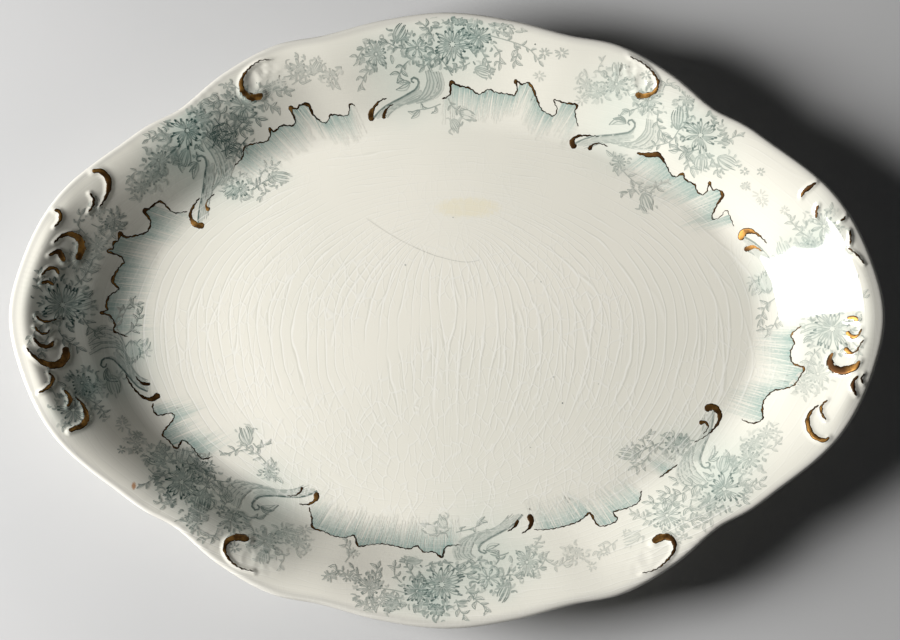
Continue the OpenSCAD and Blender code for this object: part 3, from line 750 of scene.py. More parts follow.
def daisy(cx, cy, radius, petals, squash, lean, tone):
    """An open daisy: each petal has a pale fill, two edges that darken to its tip, a short
    dark stroke there and a vein at its foot. Petals stand round a dotted middle, in an oval
    that squash flattens and lean turns, with short strokes and a few leaves round them."""
    t = np.linspace(0, 1, STATIONS)
    around = np.arange(petals) * 2 * np.pi / petals + draw.normal(0, 0.09, petals)
    length = radius * draw.uniform(0.72, 1.1, petals)
    curl = draw.normal(0, 0.16, petals)[:, None]
    along = 0.2 * radius + (length[:, None] - 0.2 * radius) * t
    half = radius * draw.uniform(0.05, 0.085, petals)[:, None] * np.sin(
        np.pi * (0.12 + 0.88 * t) ** 1.5)

    def put(r, side, width, shade):
        a = around[:, None] + curl * (r / radius) ** 2 + side / np.maximum(r, 0.1)
        u, v = r * np.cos(a), r * np.sin(a) * squash
        add_lines(cx + u * np.cos(lean) - v * np.sin(lean),
                  cy + u * np.sin(lean) + v * np.cos(lean), width, shade)

    put(along, 0, 2.4 * half, 0.13 * tone)
    for side in (-half, half):
        put(along, side, 0.8, tone * (0.5 + 0.7 * t**2))
    put(length[:, None] * (0.84 + 0.18 * t), 0, taper(1.8, 0.5, 0.7), 1.15 * tone)
    put(along * 0.5 + 0.06 * radius, 0, taper(0.9), 0.8 * tone)
    dots = (np.arange(8) * np.pi / 4)[:, None]
    r = 0.14 * radius + np.linspace(-0.5, 0.5, STATIONS)
    add_lines(cx + r * np.cos(dots), cy + r * np.sin(dots) * squash, 1.1, 0.95 * tone)
    commas(cx, cy, radius, int(radius * 2.2), tone)
    for way in draw.uniform(0, 2 * np.pi, int(radius / 3)):
        far = radius * draw.uniform(1.0, 1.25)
        leaf(cx + far * np.cos(way), cy + far * np.sin(way) * 0.9,
             np.degrees(way) + draw.normal(0, 45), draw.uniform(6, 10), 0.8 * tone)


def bud(cx, cy, radius, way, tone):
    """A closed flower: bowed lines from its foot to its mouth over a pale egg, with short
    dark strokes at its foot. way is the direction of its mouth in degrees."""
    t = np.linspace(0, 1, STATIONS)
    c, s = np.cos(np.radians(way)), np.sin(np.radians(way))

    def put(along, across, width, shade):
        add_lines(cx + c * along - s * across, cy + s * along + c * across, width, shade)

    put(radius * (1.9 * t - 0.95), 0 * t, radius * 1.2 * np.sin(np.pi * (0.05 + 0.9 * t)) ** 0.7,
        0.17 * tone)
    bow = np.linspace(-1, 1, 6)[:, None] + draw.normal(0, 0.08, (6, 1))
    reach = draw.uniform(1.75, 2.35, (6, 1))
    put(radius * (-1 + reach * t) * (1 - 0.15 * bow**2),
        radius * 0.75 * bow * np.sin(np.pi * (0.12 + 0.62 * t)) ** 0.8, taper(1.1),
        tone * (0.5 + 0.7 * t))
    foot = np.linspace(-0.6, 0.6, 4)[:, None]
    put(radius * (-1.1 + 0.7 * t), radius * foot * (0.15 + t * 1.1), taper(1.3), 0.8 * tone)
    commas(cx, cy, radius, int(radius * 1.1), tone)


def leaf(x, y, way, length, tone):
    """A small leaf: a pale lens a third as wide as long, with a midrib and two edges, bowed
    to one side."""
    t = np.linspace(0, 1, STATIONS)
    c, s = np.cos(np.radians(way)), np.sin(np.radians(way))
    bow = draw.normal(0, 0.16) * length * np.sin(np.pi * t)
    half = 0.34 * length * 0.5 * np.sin(np.pi * t**0.85)
    for side, reach, width, shade in (
        (0, 1.0, 2 * half, 0.14), (-1, 1.0, 0.65, 0.6), (1, 1.0, 0.8, 1.15), (0, 0.8, 0.75, 1),
    ):
        along, across = length * t * reach, bow + side * half
        add_lines(x + c * along - s * across, y + s * along + c * across, width, shade * tone)


def sprig(points, leaves, size, tone):
    """A thin stem with leaves on alternate sides and one at its end."""
    stem = through(points)
    add_lines(stem[:, 0], stem[:, 1], taper(1.0, 1, 0.6), 0.9 * tone)
    slope = np.gradient(stem, axis=0)
    way = np.unwrap(np.degrees(np.arctan2(slope[:, 1], slope[:, 0])), period=360)
    for k, p in enumerate(np.linspace(0.25, 0.95, leaves) * (STATIONS - 1)):
        x, y, turn = (np.interp(p, np.arange(STATIONS), v) for v in (stem[:, 0], stem[:, 1], way))
        leaf(x, y, turn + (1 if k % 2 else -1) * draw.uniform(30, 70),
             size * draw.uniform(0.6, 1.05), tone)
    leaf(stem[-1, 0], stem[-1, 1], way[-1], size * 0.9, tone)


def starlet(cx, cy, radius, rays, tone):
    """A small distant flower: short rays round a pale middle."""
    t = np.linspace(0, 1, STATIONS)
    a = (np.arange(rays) * 2 * np.pi / rays + draw.normal(0, 0.15, rays))[:, None]
    r = radius * (0.25 + 0.75 * t) * draw.uniform(0.75, 1.15, rays)[:, None]
    add_lines(cx + r * np.cos(a), cy + r * np.sin(a) * 0.9, taper(1.4, 0.6, 0.8), tone)


def feathered_leaf(x, y, way, size):
    """A scrolled leaf that grows out of a pair of gold tips: an edge that ends in a curl, a
    pale ribbon beside it, and a fan of bowed feathers beyond, with a few leaves at the curl.
    Its points are laid out along way, and the feathers are spread evenly between two."""
    c, s = np.cos(np.radians(way)) * size, np.sin(np.radians(way)) * size

    def put(points, width, shade):
        p = through(points)
        add_lines(x + c * p[:, 0] - s * p[:, 1], y + s * p[:, 0] + c * p[:, 1], width, shade)

    put([(2, 2), (20, 4), (38, 8), (54, 12)], taper(7), 0.3)
    put([(4, 1), (20, 1.5), (38, 6), (51, 8), (57, 4)], taper(3.4, 0.6, 0.5), 0.42)
    put([(0, 0), (10, -1), (20, 0), (38, 4.5), (50, 6.7)], taper(1.8, 1, 1), 0.95)
    put([(50, 6.7), (56, 5), (59, 1), (57, -4), (53, -3), (54, 0.5)], taper(1.8, 1, 0.6), 0.9)
    for shift in (0, 2.2, 4.4):
        put([(6, 3 + shift), (20, 4.6 + shift * 0.6), (36, 8.6 + shift * 0.6), (50, 12 + shift)],
            taper(1.1), 0.5)
    put([(10, 9), (18, 7.5), (28, 8.5), (38, 13), (47, 19)], taper(1.3), 0.6)
    first = np.array([(70.7, -0.8), (63, 9.9), (48.9, 16), (32.6, 10.1)])
    last = np.array([(80, 10), (74, 22), (61.6, 26), (45.5, 20)])
    for t in np.linspace(0, 1, 6):
        feather = first + (last - first) * t + draw.normal(0, 0.8, (4, 2))
        put(feather + (1.3, 0.7), taper(2.8, 0.4, 0.5), 0.24)
        put(feather, taper(1.4, 0.4, 0.3), 0.6)
    for turn, reach in ((-165, 16), (-140, 13), (-112, 11)):
        leaf(x + c * 51 + s * 2, y + s * 51 - c * 2, way + turn, reach * size, 0.75)


# Places of the motifs in view pixels. Daisies: place, radius, petals, squash, lean in
# radians, tone. Buds: place, radius, way in degrees, tone. Sprigs: stem, leaves, their
# length, tone. Starlets: place, radius, rays, tone. Feathered leaves: place, way in
# degrees, size. Commas: place, radius, count, tone
DAISIES = [
    (452.3, 43, 21, 21, 0.92, 0, 1), (478.6, 35.5, 13.5, 17, 0.92, 0.4, 0.95),
    (459, 18, 10.5, 15, 0.75, 0, 0.8), (416.4, 46.5, 12.5, 8, 0.9, 0.3, 0.8),
    (375, 53, 13, 15, 1.1, 0.3, 0.75), (503.3, 22.5, 8.5, 12, 0.9, 0, 0.75),
    (702.4, 135.7, 18.5, 20, 0.95, 0.5, 1), (652, 99, 12, 15, 0.9, 0, 0.7),
    (690, 99, 9.5, 12, 0.8, 0.5, 0.7), (618, 83.7, 12.5, 16, 1, 0, 0.65),
    (599, 91, 8.5, 12, 1, 0, 0.5), (587.6, 83.7, 8.5, 12, 0.9, 0, 0.45),
    (620.5, 163, 7.5, 11, 1.1, 0, 0.7), (832, 331, 21, 21, 0.95, 0.5, 0.95),
    (825.4, 228, 16, 17, 0.9, 0.8, 0.75), (808, 248, 9, 12, 0.9, 0, 0.55),
    (817, 255, 13, 16, 0.9, 0.5, 0.8), (722, 490, 17.5, 20, 0.92, 0.3, 1),
    (665, 516, 15, 17, 0.9, 0.2, 0.8), (706.3, 504, 10.5, 15, 0.9, 0, 0.7),
    (672.7, 446, 10.5, 13, 0.9, 0, 0.8), (747.7, 461, 12, 15, 0.85, 0, 0.7),
    (752.3, 444.4, 8.5, 12, 0.85, 0, 0.6), (765, 435, 8.5, 12, 0.85, 0, 0.55),
    (817, 376, 13, 16, 0.9, 0, 0.5), (803, 389, 9, 12, 0.9, 0, 0.45),
]
BUDS = [
    (398.8, 32, 8.5, -60, 0.9), (482.6, 70.4, 7.5, 20, 0.7),
    (455, 125, 6, 60, 0.6), (466.6, 115, 7, 20, 0.6), (681, 118.9, 10.5, -85, 0.95),
    (619, 68.4, 6.5, -90, 0.55), (702.4, 164, 8.5, 95, 0.75), (728.4, 163.3, 9.5, 30, 0.75),
    (647.3, 203, 8.5, 70, 0.75), (767, 285, 9.5, -100, 0.8), (812.8, 333, 9.5, 160, 0.6),
    (785, 253, 9.5, -110, 0.55), (758, 289, 8, 120, 0.6), (627.5, 456, 8, 190, 0.75),
    (683, 444, 6, -40, 0.75), (721.6, 465.8, 8, -75, 0.7), (630, 538, 8, 160, 0.4),
]
SPRIGS = [
    ([(452, 75), (444, 62), (433, 51)], 5, 8, 0.8), ([(416, 46), (400, 47), (386, 41)], 5, 9, 0.8),
    ([(434, 40), (428, 28), (418, 19)], 6, 10, 0.75), ([(440, 28), (438, 18), (434, 12)], 4, 8, 0.7),
    ([(470, 62), (462, 66), (452, 68)], 5, 7, 0.7), ([(481, 48), (486, 58), (491, 68)], 5, 8, 0.7),
    ([(490, 34), (514, 41), (530, 48), (540, 60)], 7, 8, 0.65),
    ([(514, 41), (518, 50), (516, 60)], 5, 9, 0.7),
    ([(510, 38), (518, 28), (530, 24)], 6, 9, 0.55), ([(408, 60), (402, 66), (399, 74)], 4, 10, 0.75),
    ([(376, 66), (366, 72), (360, 84)], 5, 9, 0.5), ([(494, 44), (500, 52), (500, 62)], 4, 9, 0.65),
    ([(448, 98), (452, 106), (460, 112)], 5, 9, 0.65), ([(440, 104), (430, 108), (418, 110)], 3, 12, 0.7),
    ([(371, 44), (362, 48), (356, 58)], 4, 9, 0.55), ([(440, 54), (430, 60), (424, 66)], 4, 9, 0.7),
    ([(681, 130), (672, 142), (655, 147)], 6, 10, 0.8), ([(660, 108), (646, 106), (630, 112)], 6, 10, 0.7),
    ([(660, 112), (659, 124), (664, 134)], 5, 11, 0.8), ([(700, 150), (688, 153), (680, 150)], 5, 11, 0.85),
    ([(686, 150), (688, 160), (692, 170)], 5, 11, 0.7), ([(716, 142), (726, 142), (740, 136)], 6, 9, 0.65),
    ([(708, 154), (714, 160), (720, 172)], 4, 9, 0.7), ([(664, 92), (668, 84), (678, 82)], 5, 9, 0.6),
    ([(696, 92), (700, 84), (706, 90)], 4, 8, 0.5), ([(712, 122), (716, 114), (724, 116)], 4, 8, 0.55),
    ([(624, 172), (634, 182), (646, 190)], 5, 9, 0.6), ([(640, 196), (634, 190), (628, 194)], 4, 9, 0.65),
    ([(652, 192), (658, 188), (664, 184)], 4, 9, 0.65), ([(604, 76), (600, 68), (604, 60)], 3, 7, 0.4),
    ([(780, 262), (772, 272), (769, 280)], 4, 8, 0.55), ([(776, 300), (766, 308), (760, 322)], 7, 9, 0.75),
    ([(778, 318), (772, 330), (764, 332)], 6, 9, 0.7), ([(778, 300), (784, 312), (780, 324)], 5, 9, 0.6),
    ([(812, 240), (800, 232), (792, 222)], 6, 9, 0.6), ([(842, 240), (848, 252), (850, 264)], 5, 8, 0.5),
    ([(846, 300), (852, 292), (856, 284)], 5, 9, 0.6), ([(812, 318), (806, 308), (798, 304)], 5, 10, 0.7),
    ([(836, 306), (830, 296), (820, 290)], 6, 10, 0.7), ([(852, 344), (858, 352), (856, 362)], 5, 8, 0.6),
    ([(820, 350), (812, 358), (806, 370)], 5, 10, 0.6), ([(850, 312), (858, 306), (864, 298)], 4, 9, 0.6),
    ([(660, 444), (650, 448), (638, 454)], 6, 9, 0.75), ([(650, 452), (644, 462), (634, 468)], 5, 9, 0.65),
    ([(644, 448), (642, 440), (648, 436)], 3, 8, 0.6), ([(700, 486), (688, 487), (676, 482)], 5, 11, 0.85),
    ([(688, 490), (676, 496), (664, 494)], 7, 11, 0.8), ([(676, 496), (668, 504), (650, 504)], 6, 11, 0.8),
    ([(690, 500), (688, 510), (694, 516)], 5, 10, 0.7), ([(738, 486), (748, 488), (758, 482)], 6, 9, 0.6),
    ([(728, 474), (732, 466), (728, 458)], 5, 9, 0.65), ([(680, 520), (690, 522), (700, 518)], 4, 11, 0.7),
    ([(652, 522), (642, 520), (634, 514)], 5, 9, 0.55), ([(712, 516), (706, 522), (698, 526)], 4, 9, 0.5),
    ([(760, 448), (770, 450), (776, 444)], 4, 8, 0.5), ([(616, 540), (608, 546), (598, 552)], 5, 9, 0.4),
    ([(742, 474), (738, 480), (742, 486)], 3, 8, 0.6), ([(668, 532), (676, 538), (684, 538)], 3, 7, 0.5),
]
STARLETS = [
    (545.5, 52, 7, 9, 0.55), (563, 52, 7, 10, 0.5), (540, 75, 7, 8, 0.35), (746.7, 172.5, 4.5, 7, 0.6),
    (762.8, 173, 4.5, 7, 0.55), (746.7, 187, 5, 8, 0.55), (762, 197, 8, 8, 0.3), (648, 74, 6, 8, 0.55),
    (748, 188, 5, 8, 0.4), (764, 203, 6, 8, 0.35), (681, 537, 4.5, 7, 0.45), (602, 552, 6, 8, 0.4),
    (583, 100, 7, 8, 0.3), (526, 18, 5, 7, 0.4), (786, 212, 6, 8, 0.35), (590, 566, 6, 8, 0.3),
]
FEATHERED_LEAVES = [(373, 118, -42, 1.0), (576, 144, -19, 1.08), (744, 238, 36, 1.12),
                    (712, 411, 98, 1.0)]

# Motifs of the second half alone, which fill its gaps
LONE_DAISIES = [
    (296, 66, 9, 13, 0.9, 0, 0.5), (329, 74, 8, 12, 0.9, 0.3, 0.4), (112, 222, 9, 13, 0.9, 0, 0.75),
    (93, 213, 6, 11, 0.9, 0, 0.6), (202, 470, 10.5, 16, 0.9, 0.4, 0.85), (160, 457, 9.5, 15, 0.9, 0, 0.7),
    (137, 444, 8, 12, 0.9, 0, 0.5), (370, 587, 12.5, 17, 0.9, 0.3, 0.75), (575, 553, 8.5, 12, 0.9, 0, 0.35),
]
LONE_BUDS = [
    (315, 67, 6, -60, 0.45), (206, 502, 8.5, 100, 0.9), (195, 520, 8, 130, 0.8), (227, 495, 7, 60, 0.8),
    (392, 601, 7, 200, 0.7), (225, 134, 9, -120, 0.9), (262, 92, 7, -30, 0.6),
]
LONE_SPRIGS = [
    ([(212, 118), (218, 128), (214, 140)], 6, 11, 1), ([(238, 126), (230, 136), (227, 148)], 6, 11, 1),
    ([(246, 138), (238, 148), (233, 160)], 6, 11, 0.95), ([(204, 130), (212, 138), (224, 144)], 6, 10, 1),
    ([(254, 82), (270, 90), (284, 90)], 6, 10, 0.55), ([(90, 226), (103, 231), (118, 227)], 6, 9, 0.7),
    ([(188, 462), (196, 478), (190, 492)], 6, 10, 0.9), ([(214, 476), (208, 488), (212, 500)], 6, 10, 0.85),
    ([(352, 578), (341, 570), (332, 574)], 6, 9, 0.6), ([(384, 600), (374, 606), (362, 602)], 5, 9, 0.6),
    ([(346, 562), (352, 552), (347, 544)], 5, 8, 0.5), ([(544, 560), (556, 566), (566, 560)], 5, 9, 0.35),
    ([(150, 470), (160, 478), (172, 474)], 5, 9, 0.7), ([(84, 236), (76, 226), (80, 216)], 5, 8, 0.6),
]
LONE_COMMAS = [(225, 136, 18, 30, 0.9), (205, 492, 22, 36, 0.9)]

# Where the print's second half stands off a plain half turn, in view pixels: place and
# shift. The softness is the squared distance within which a row's weight levels off
SHIFTS = np.array([
    (442, 593, 0, -9), (415, 600, 2, -10), (519, 583, 7, -21), (478, 590, 10, -12),
    (364, 588, 0, -8), (500, 540, 0, -2), (439, 511, 3, 13), (428, 522, 3, 9), (446, 538, 2, 0),
    (174, 146, 13, -15), (148, 175, 10, -14), (231, 121, 12, -14), (191, 171, 9, -10),
    (183, 223, 15, 1), (216, 189, 18, 0), (266, 181, 12, -2), (190, 501, -8, -17),
    (242, 537, -10, -16), (274, 552, -9, -11), (260, 512, -4, -5), (318, 492, 0, 0),
    (248, 432, 0, 5), (273, 472, -3, 0), (147, 463, -8, -12), (132, 314, 6, 2),
    (62, 305, 0, 2), (77, 381, 6, 4),
])
SHIFT_SOFTNESS = 60


def drawn(*groups):
    """The lines of a few groups, each a motif with the table of its places, one after the
    other."""
    for motif, table in groups:
        for row in table:
            motif(*row)
    gathered = np.concatenate(lines)
    lines.clear()
    return gathered


def turned_place(x, y):
    """Places turned half round the middle of the view, and then shifted as the table of
    shifts says: a mean of its rows, weighted by the inverse square of squared distance."""
    x, y = 2 * VIEW_MIDDLE[0] - x, 2 * VIEW_MIDDLE[1] - y
    far = (x[..., None] - SHIFTS[:, 0]) ** 2 + (y[..., None] - SHIFTS[:, 1]) ** 2
    near = 1 / (far + SHIFT_SOFTNESS) ** 2
    near /= near.sum(-1, keepdims=True)
    return x + near @ SHIFTS[:, 2], y + near @ SHIFTS[:, 3]


def print_strength_and_glare(x):
    """Strength of the print at a pixel of the view, on a straight line from about 1.1 at the left
    end to 0.65 at the right. The paler right is partly painted glare, the window lamp's
    reflection washing over the glaze there."""
    return 1.12 - 0.00054 * x


def both_halves(rows):
    """Rows of lines, and the same rows turned half round, with the print's strength, paler to
    the right partly as painted glare.
    """
    turned = rows.copy()
    turned[..., 0], turned[..., 1] = turned_place(rows[..., 0], rows[..., 1])
    rows = np.concatenate([rows, turned])
    rows[..., 3] *= print_strength_and_glare(rows[..., 0])
    return rows


# Wash: what a full blob gives, how much wider than its motif it is, the radius from which
# it is full, and the most that blobs add up to. The fan of a feathered leaf has a blob at a
# distance along its way, with a radius and a tone of its own
WASH_STRENGTH, WASH_SPREAD, WASH_FULL, WASH_MOST = 0.38, 1.4, 15, 0.65
FAN_ALONG, FAN_RADIUS, FAN_TONE = 48, 26, 0.8


def wash_over(x, y):
    """Strength of the pale wash at plan positions: a soft blob round each flower, bud and
    fan, a Gaussian of its distance over its radius, and all added up."""
    blobs = [(*row[:3], row[-1]) for row in DAISIES + BUDS]
    for px, py, way, _ in FEATHERED_LEAVES:
        way = np.radians(way)
        blobs.append((px + FAN_ALONG * np.cos(way), py + FAN_ALONG * np.sin(way),
                      FAN_RADIUS, FAN_TONE))
    blobs = np.array(blobs)
    turned = np.column_stack([*turned_place(blobs[:, 0], blobs[:, 1]), blobs[:, 2:]])
    strength = np.zeros(len(x))
    for px, py, radius, tone in np.vstack([blobs, turned]):
        cx, cy = from_view(px, py)
        near = np.hypot(x - cx, y - cy) / (WASH_SPREAD * radius * PIXEL)
        # The wash also fades to the right, partly as painted glare
        full = WASH_STRENGTH * tone * print_strength_and_glare(px) * min(1, radius / WASH_FULL)
        strength += full * np.exp(-near**2)
    return np.minimum(strength, WASH_MOST)


# A line's strip: the share of its width on each side, its least width in pixels, and the
# tone left at its two edges
LINE_SIDE, LINE_LEAST, LINE_EDGE = 0.58, 0.3, 0.55


def printed_strips(name, rows, lowest=0.05, haze=0.28):
    """Strips that lie on the surface: each line's width laid off to both sides of its course
    in the plan, paler at its two edges. It is lifted by a few hundredths of a millimetre, a
    darker line more than a pale one, and a little differently from its neighbours, so that
    lines can cross. A line that would reach the lip is left out. lowest is the least lift,
    and haze is how much wash goes with the ink."""
    x, y = from_view(rows[..., 0], rows[..., 1])
    inside = turn_and_share(x, y)[1].max(1) < PRINT_REACH
    rows, x, y = rows[inside], x[inside], y[inside]
    way = np.stack([np.gradient(x, axis=1), np.gradient(y, axis=1)], -1)
    way /= np.maximum(np.linalg.norm(way, axis=-1, keepdims=True), 1e-9)
    half = LINE_SIDE * np.maximum(rows[..., 2], LINE_LEAST) * PIXEL
    across = np.array([1, 0, -1])
    px = x[..., None] - way[..., 1, None] * half[..., None] * across
    py = y[..., None] + way[..., 0, None] * half[..., None] * across
    lift = lowest + 0.03 * rows[..., 3].mean(1) + 0.01 * (np.arange(len(rows)) % 17 / 17)
    z = surface_height(px, py) + lift[:, None, None]
    faces = grid_faces(STATIONS, 3, wrap=False)[:, ::-1]
    faces = (np.arange(len(rows))[:, None, None] * STATIONS * 3 + faces).reshape(-1, 3)
    tone = rows[..., 3, None] * np.array([LINE_EDGE, 1, LINE_EDGE])
    wash = wash_over(px.ravel(), py.ravel()) + haze * np.repeat(rows[..., 3], 3)
    piece = make_mesh(name, np.stack([px, py, z], -1).reshape(-1, 3), faces,
                      {"tone": tone.ravel(), "wash": wash})
    piece.data.materials.append(printed_glaze)
    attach(piece, "root")


def print_paint(place, white):
    """The print's ink, as strong as the line's tone and slightly uneven."""
    ink = place.attribute("tone") * (0.72 + 0.5 * place.noise(420, 2))
    return ink.mix(white, PRINT_DARK)


printed_glaze = glaze("glaze_over_print", print_paint)
layer = platter.data.attributes.new("wash", "FLOAT", "POINT")
body_wash = wash_over(body_points[:, 0], body_points[:, 1]) * upper_side
layer.data.foreach_set("value", body_wash.astype(np.float32))
printed_strips("printed_daisies", both_halves(drawn((daisy, DAISIES))))
printed_strips("printed_buds", both_halves(drawn((bud, BUDS), (starlet, STARLETS))))
printed_strips("printed_leaves", both_halves(
    drawn((sprig, SPRIGS), (feathered_leaf, FEATHERED_LEAVES))))
printed_strips("printed_fill", drawn(
    (daisy, LONE_DAISIES), (bud, LONE_BUDS), (sprig, LONE_SPRIGS), (commas, LONE_COMMAS)))


# Gilding. Bright gold brushed by hand over the fired glaze and fired again: a
# thin domed stroke on each moulded scroll, at the tips of the printed leaves,
# and along the wavy edge of the print. It is worn and browned with age.
LEAF_TIPS = [
    [[(386, 98, 1), (379, 101, 2), (373, 108, 3.6), (370, 115, 6), (372, 121, 7)],
     [(393, 104, 1), (388, 107, 2.4), (384, 113, 4.4), (383, 119, 6)]],
    [[(600, 137, 1), (587, 136, 2), (578, 137, 3.2), (573, 142, 5.4), (576, 149, 8)],
     [(609, 147, 1), (600, 144, 1.8), (593, 146, 3.6), (590, 151, 5)]],
    [[(768, 245, 1), (760, 237, 2.2), (752, 233, 5), (745, 234, 7.4), (741, 242, 7.4)],
     [(763, 253, 1.4), (756, 249, 4.4), (750, 250, 6.4), (745, 252, 5)]],
    [[(693, 444, 1), (704, 438, 1.8), (713, 430, 2.6), (718, 422, 4), (718, 414, 6),
      (711, 409, 8), (704, 412, 7)],
     [(702, 436, 1), (707, 429, 2.4), (704, 424, 4.4), (698, 425, 5)]],
    [[(521, 534, 1), (528, 529, 3), (531, 522, 6), (528, 515, 7)],
     [(507, 532, 1), (514, 527, 3), (517, 520, 5.4)]],
    [[(300, 505, 1), (310, 505, 2.4), (317, 500, 5), (317, 493, 7)],
     [(288, 497, 1), (297, 496, 2), (302, 492, 3.4), (303, 488, 4)]],
    [[(126, 376, 1), (130, 384, 1.6), (136, 392, 2.2), (144, 399, 3.2), (153, 401, 5),
      (160, 396, 8)],
     [(136, 378, 1), (140, 383, 3), (145, 386, 4.4), (151, 386, 4)]],
    [[(198, 199, 1), (192, 208, 2.6), (189, 216, 4), (192, 224, 5.6), (198, 227, 7),
      (203, 226, 7)],
     [(213, 195, 1), (206, 202, 2.4), (205, 208, 4.4), (208, 212, 6)]],
]
ROCAILLE_LINES = [
    [[(442, 99, 1.8), (450, 94, 2), (451, 82, 4), (458, 85, 2.2), (470, 88, 2),
      (479, 94, 1.4), (489, 89, 1.4), (496, 92, 1.4), (509, 94, 1.4), (515, 95, 2),
      (518, 88, 1.6), (516, 80, 3.2), (523, 84, 1.6), (528, 82, 1.8), (533, 87, 3.2),
      (537, 97, 2.4), (542, 109, 1.4), (549, 114, 1.2), (555, 116, 1.6),
      (558, 109, 1.2), (555, 100, 1.4), (566, 103, 1.8), (578, 105, 2.8),
      (576, 112, 1.6), (579, 127, 1)]],
    [[(233, 167, 1.2), (241, 158, 1.8), (243, 148, 2), (254, 144, 1.6), (265, 142, 1.6),
      (269, 135, 2), (268, 129, 3), (273, 132, 2.2), (280, 126, 1.8), (291, 126, 1.8),
      (294, 121, 1.8), (289, 108, 4), (295, 109, 2), (299, 105, 2.2), (307, 105, 4),
      (312, 115, 2.4), (322, 123, 1.2), (327, 121, 1.2), (330, 115, 2), (344, 116, 1.2),
      (348, 113, 1.2), (349, 104, 2), (354, 106, 1.4)]],
    [[(186, 213, 1.2), (172, 214, 1.6), (159, 203, 2.4), (148, 210, 2.4), (143, 213, 4.6),
      (149, 222, 2.2), (148, 230, 2.2), (143, 235, 2), (125, 239, 2.6), (119, 235, 4.6),
      (117, 242, 1.8), (112, 245, 3), (112, 250, 1.8), (106, 253, 3), (119, 258, 1.8),
      (123, 264, 2), (118, 270, 1.8), (112, 283, 4), (118, 291, 1.8), (109, 298, 1.8),
      (106, 307, 3), (107, 312, 1.8), (101, 315, 3), (110, 318, 2.2), (115, 327, 2.4),
      (114, 333, 2.8), (128, 339, 1.2)]],
    [[(154, 405, 2), (154, 411, 1.6), (159, 417, 2), (172, 415, 1.4), (175, 420, 1.8),
      (164, 435, 2.2), (170, 442, 1.6), (178, 450, 2.6), (184, 442, 2), (193, 448, 1.4),
      (203, 460, 1.8), (214, 458, 1.2)]],
    [[(310, 508, 1.4), (313, 519, 2), (314, 528, 3), (325, 532, 1.4), (334, 536, 1.4),
      (345, 538, 1), (355, 536, 2), (359, 546, 2.4), (370, 545, 1), (382, 544, 1.4),
      (395, 546, 1.6), (409, 549, 1.6), (417, 546, 2), (424, 552, 1.6), (434, 552, 1.6),
      (442, 557, 2.8), (446, 547, 1.8), (461, 545, 1.4)]],
    [[(533, 530, 1), (545, 530, 1.2), (558, 528, 1.4), (575, 523, 1.8), (583, 518, 1.6),
      (589, 514, 3.2), (597, 526, 1.8), (608, 525, 1.4), (616, 520, 1.8), (612, 513, 2),
      (625, 509, 1.4), (637, 503, 1.4), (640, 492, 1.8)],
     [(658, 479, 1), (666, 473, 2.4), (676, 466, 1.2)]],
    [[(638, 154, 2), (650, 156, 5), (660, 156, 5), (667, 165, 1.8), (672, 175, 1.6),
      (677, 178, 1.6), (684, 175, 3), (687, 181, 2), (696, 186, 2), (698, 192, 1.8),
      (703, 196, 1.8), (708, 193, 1.4), (711, 184, 2.6), (714, 191, 1.6),
      (720, 191, 1.4), (724, 197, 4.2), (719, 205, 2.6), (713, 218, 1.8),
      (716, 221, 1.2), (722, 218, 1), (728, 212, 1), (735, 228, 1)]],
    [[(801, 328, 1.4), (791, 337, 2), (794, 345, 1.6), (790, 354, 1.6), (792, 365, 2),
      (803, 370, 3), (800, 377, 1.8), (793, 387, 2), (782, 391, 1.6), (772, 393, 2),
      (763, 402, 1.6), (761, 412, 2.6), (761, 421, 1.6), (751, 425, 2), (740, 421, 1)]],
]

# Thickness of a stroke's middle, and how far its closed under side is sunk into the glaze.
# Colours where it is bright, worn thin, browned, and at the edge of a stroke
GOLD_THICKNESS, GOLD_SUNK = 0.12, 0.05
GOLD_BRIGHT, GOLD_WORN = colour(204, 152, 80), colour(104, 72, 36)
GOLD_BROWN, GOLD_EDGE = colour(84, 56, 30), colour(48, 35, 21)


def side_of(line):
    """Unit vectors to the left of a line at each of its points."""
    way = np.gradient(line[:, :2], axis=0)
    return np.column_stack([-way[:, 1], way[:, 0]]) / np.hypot(*way.T)[:, None]


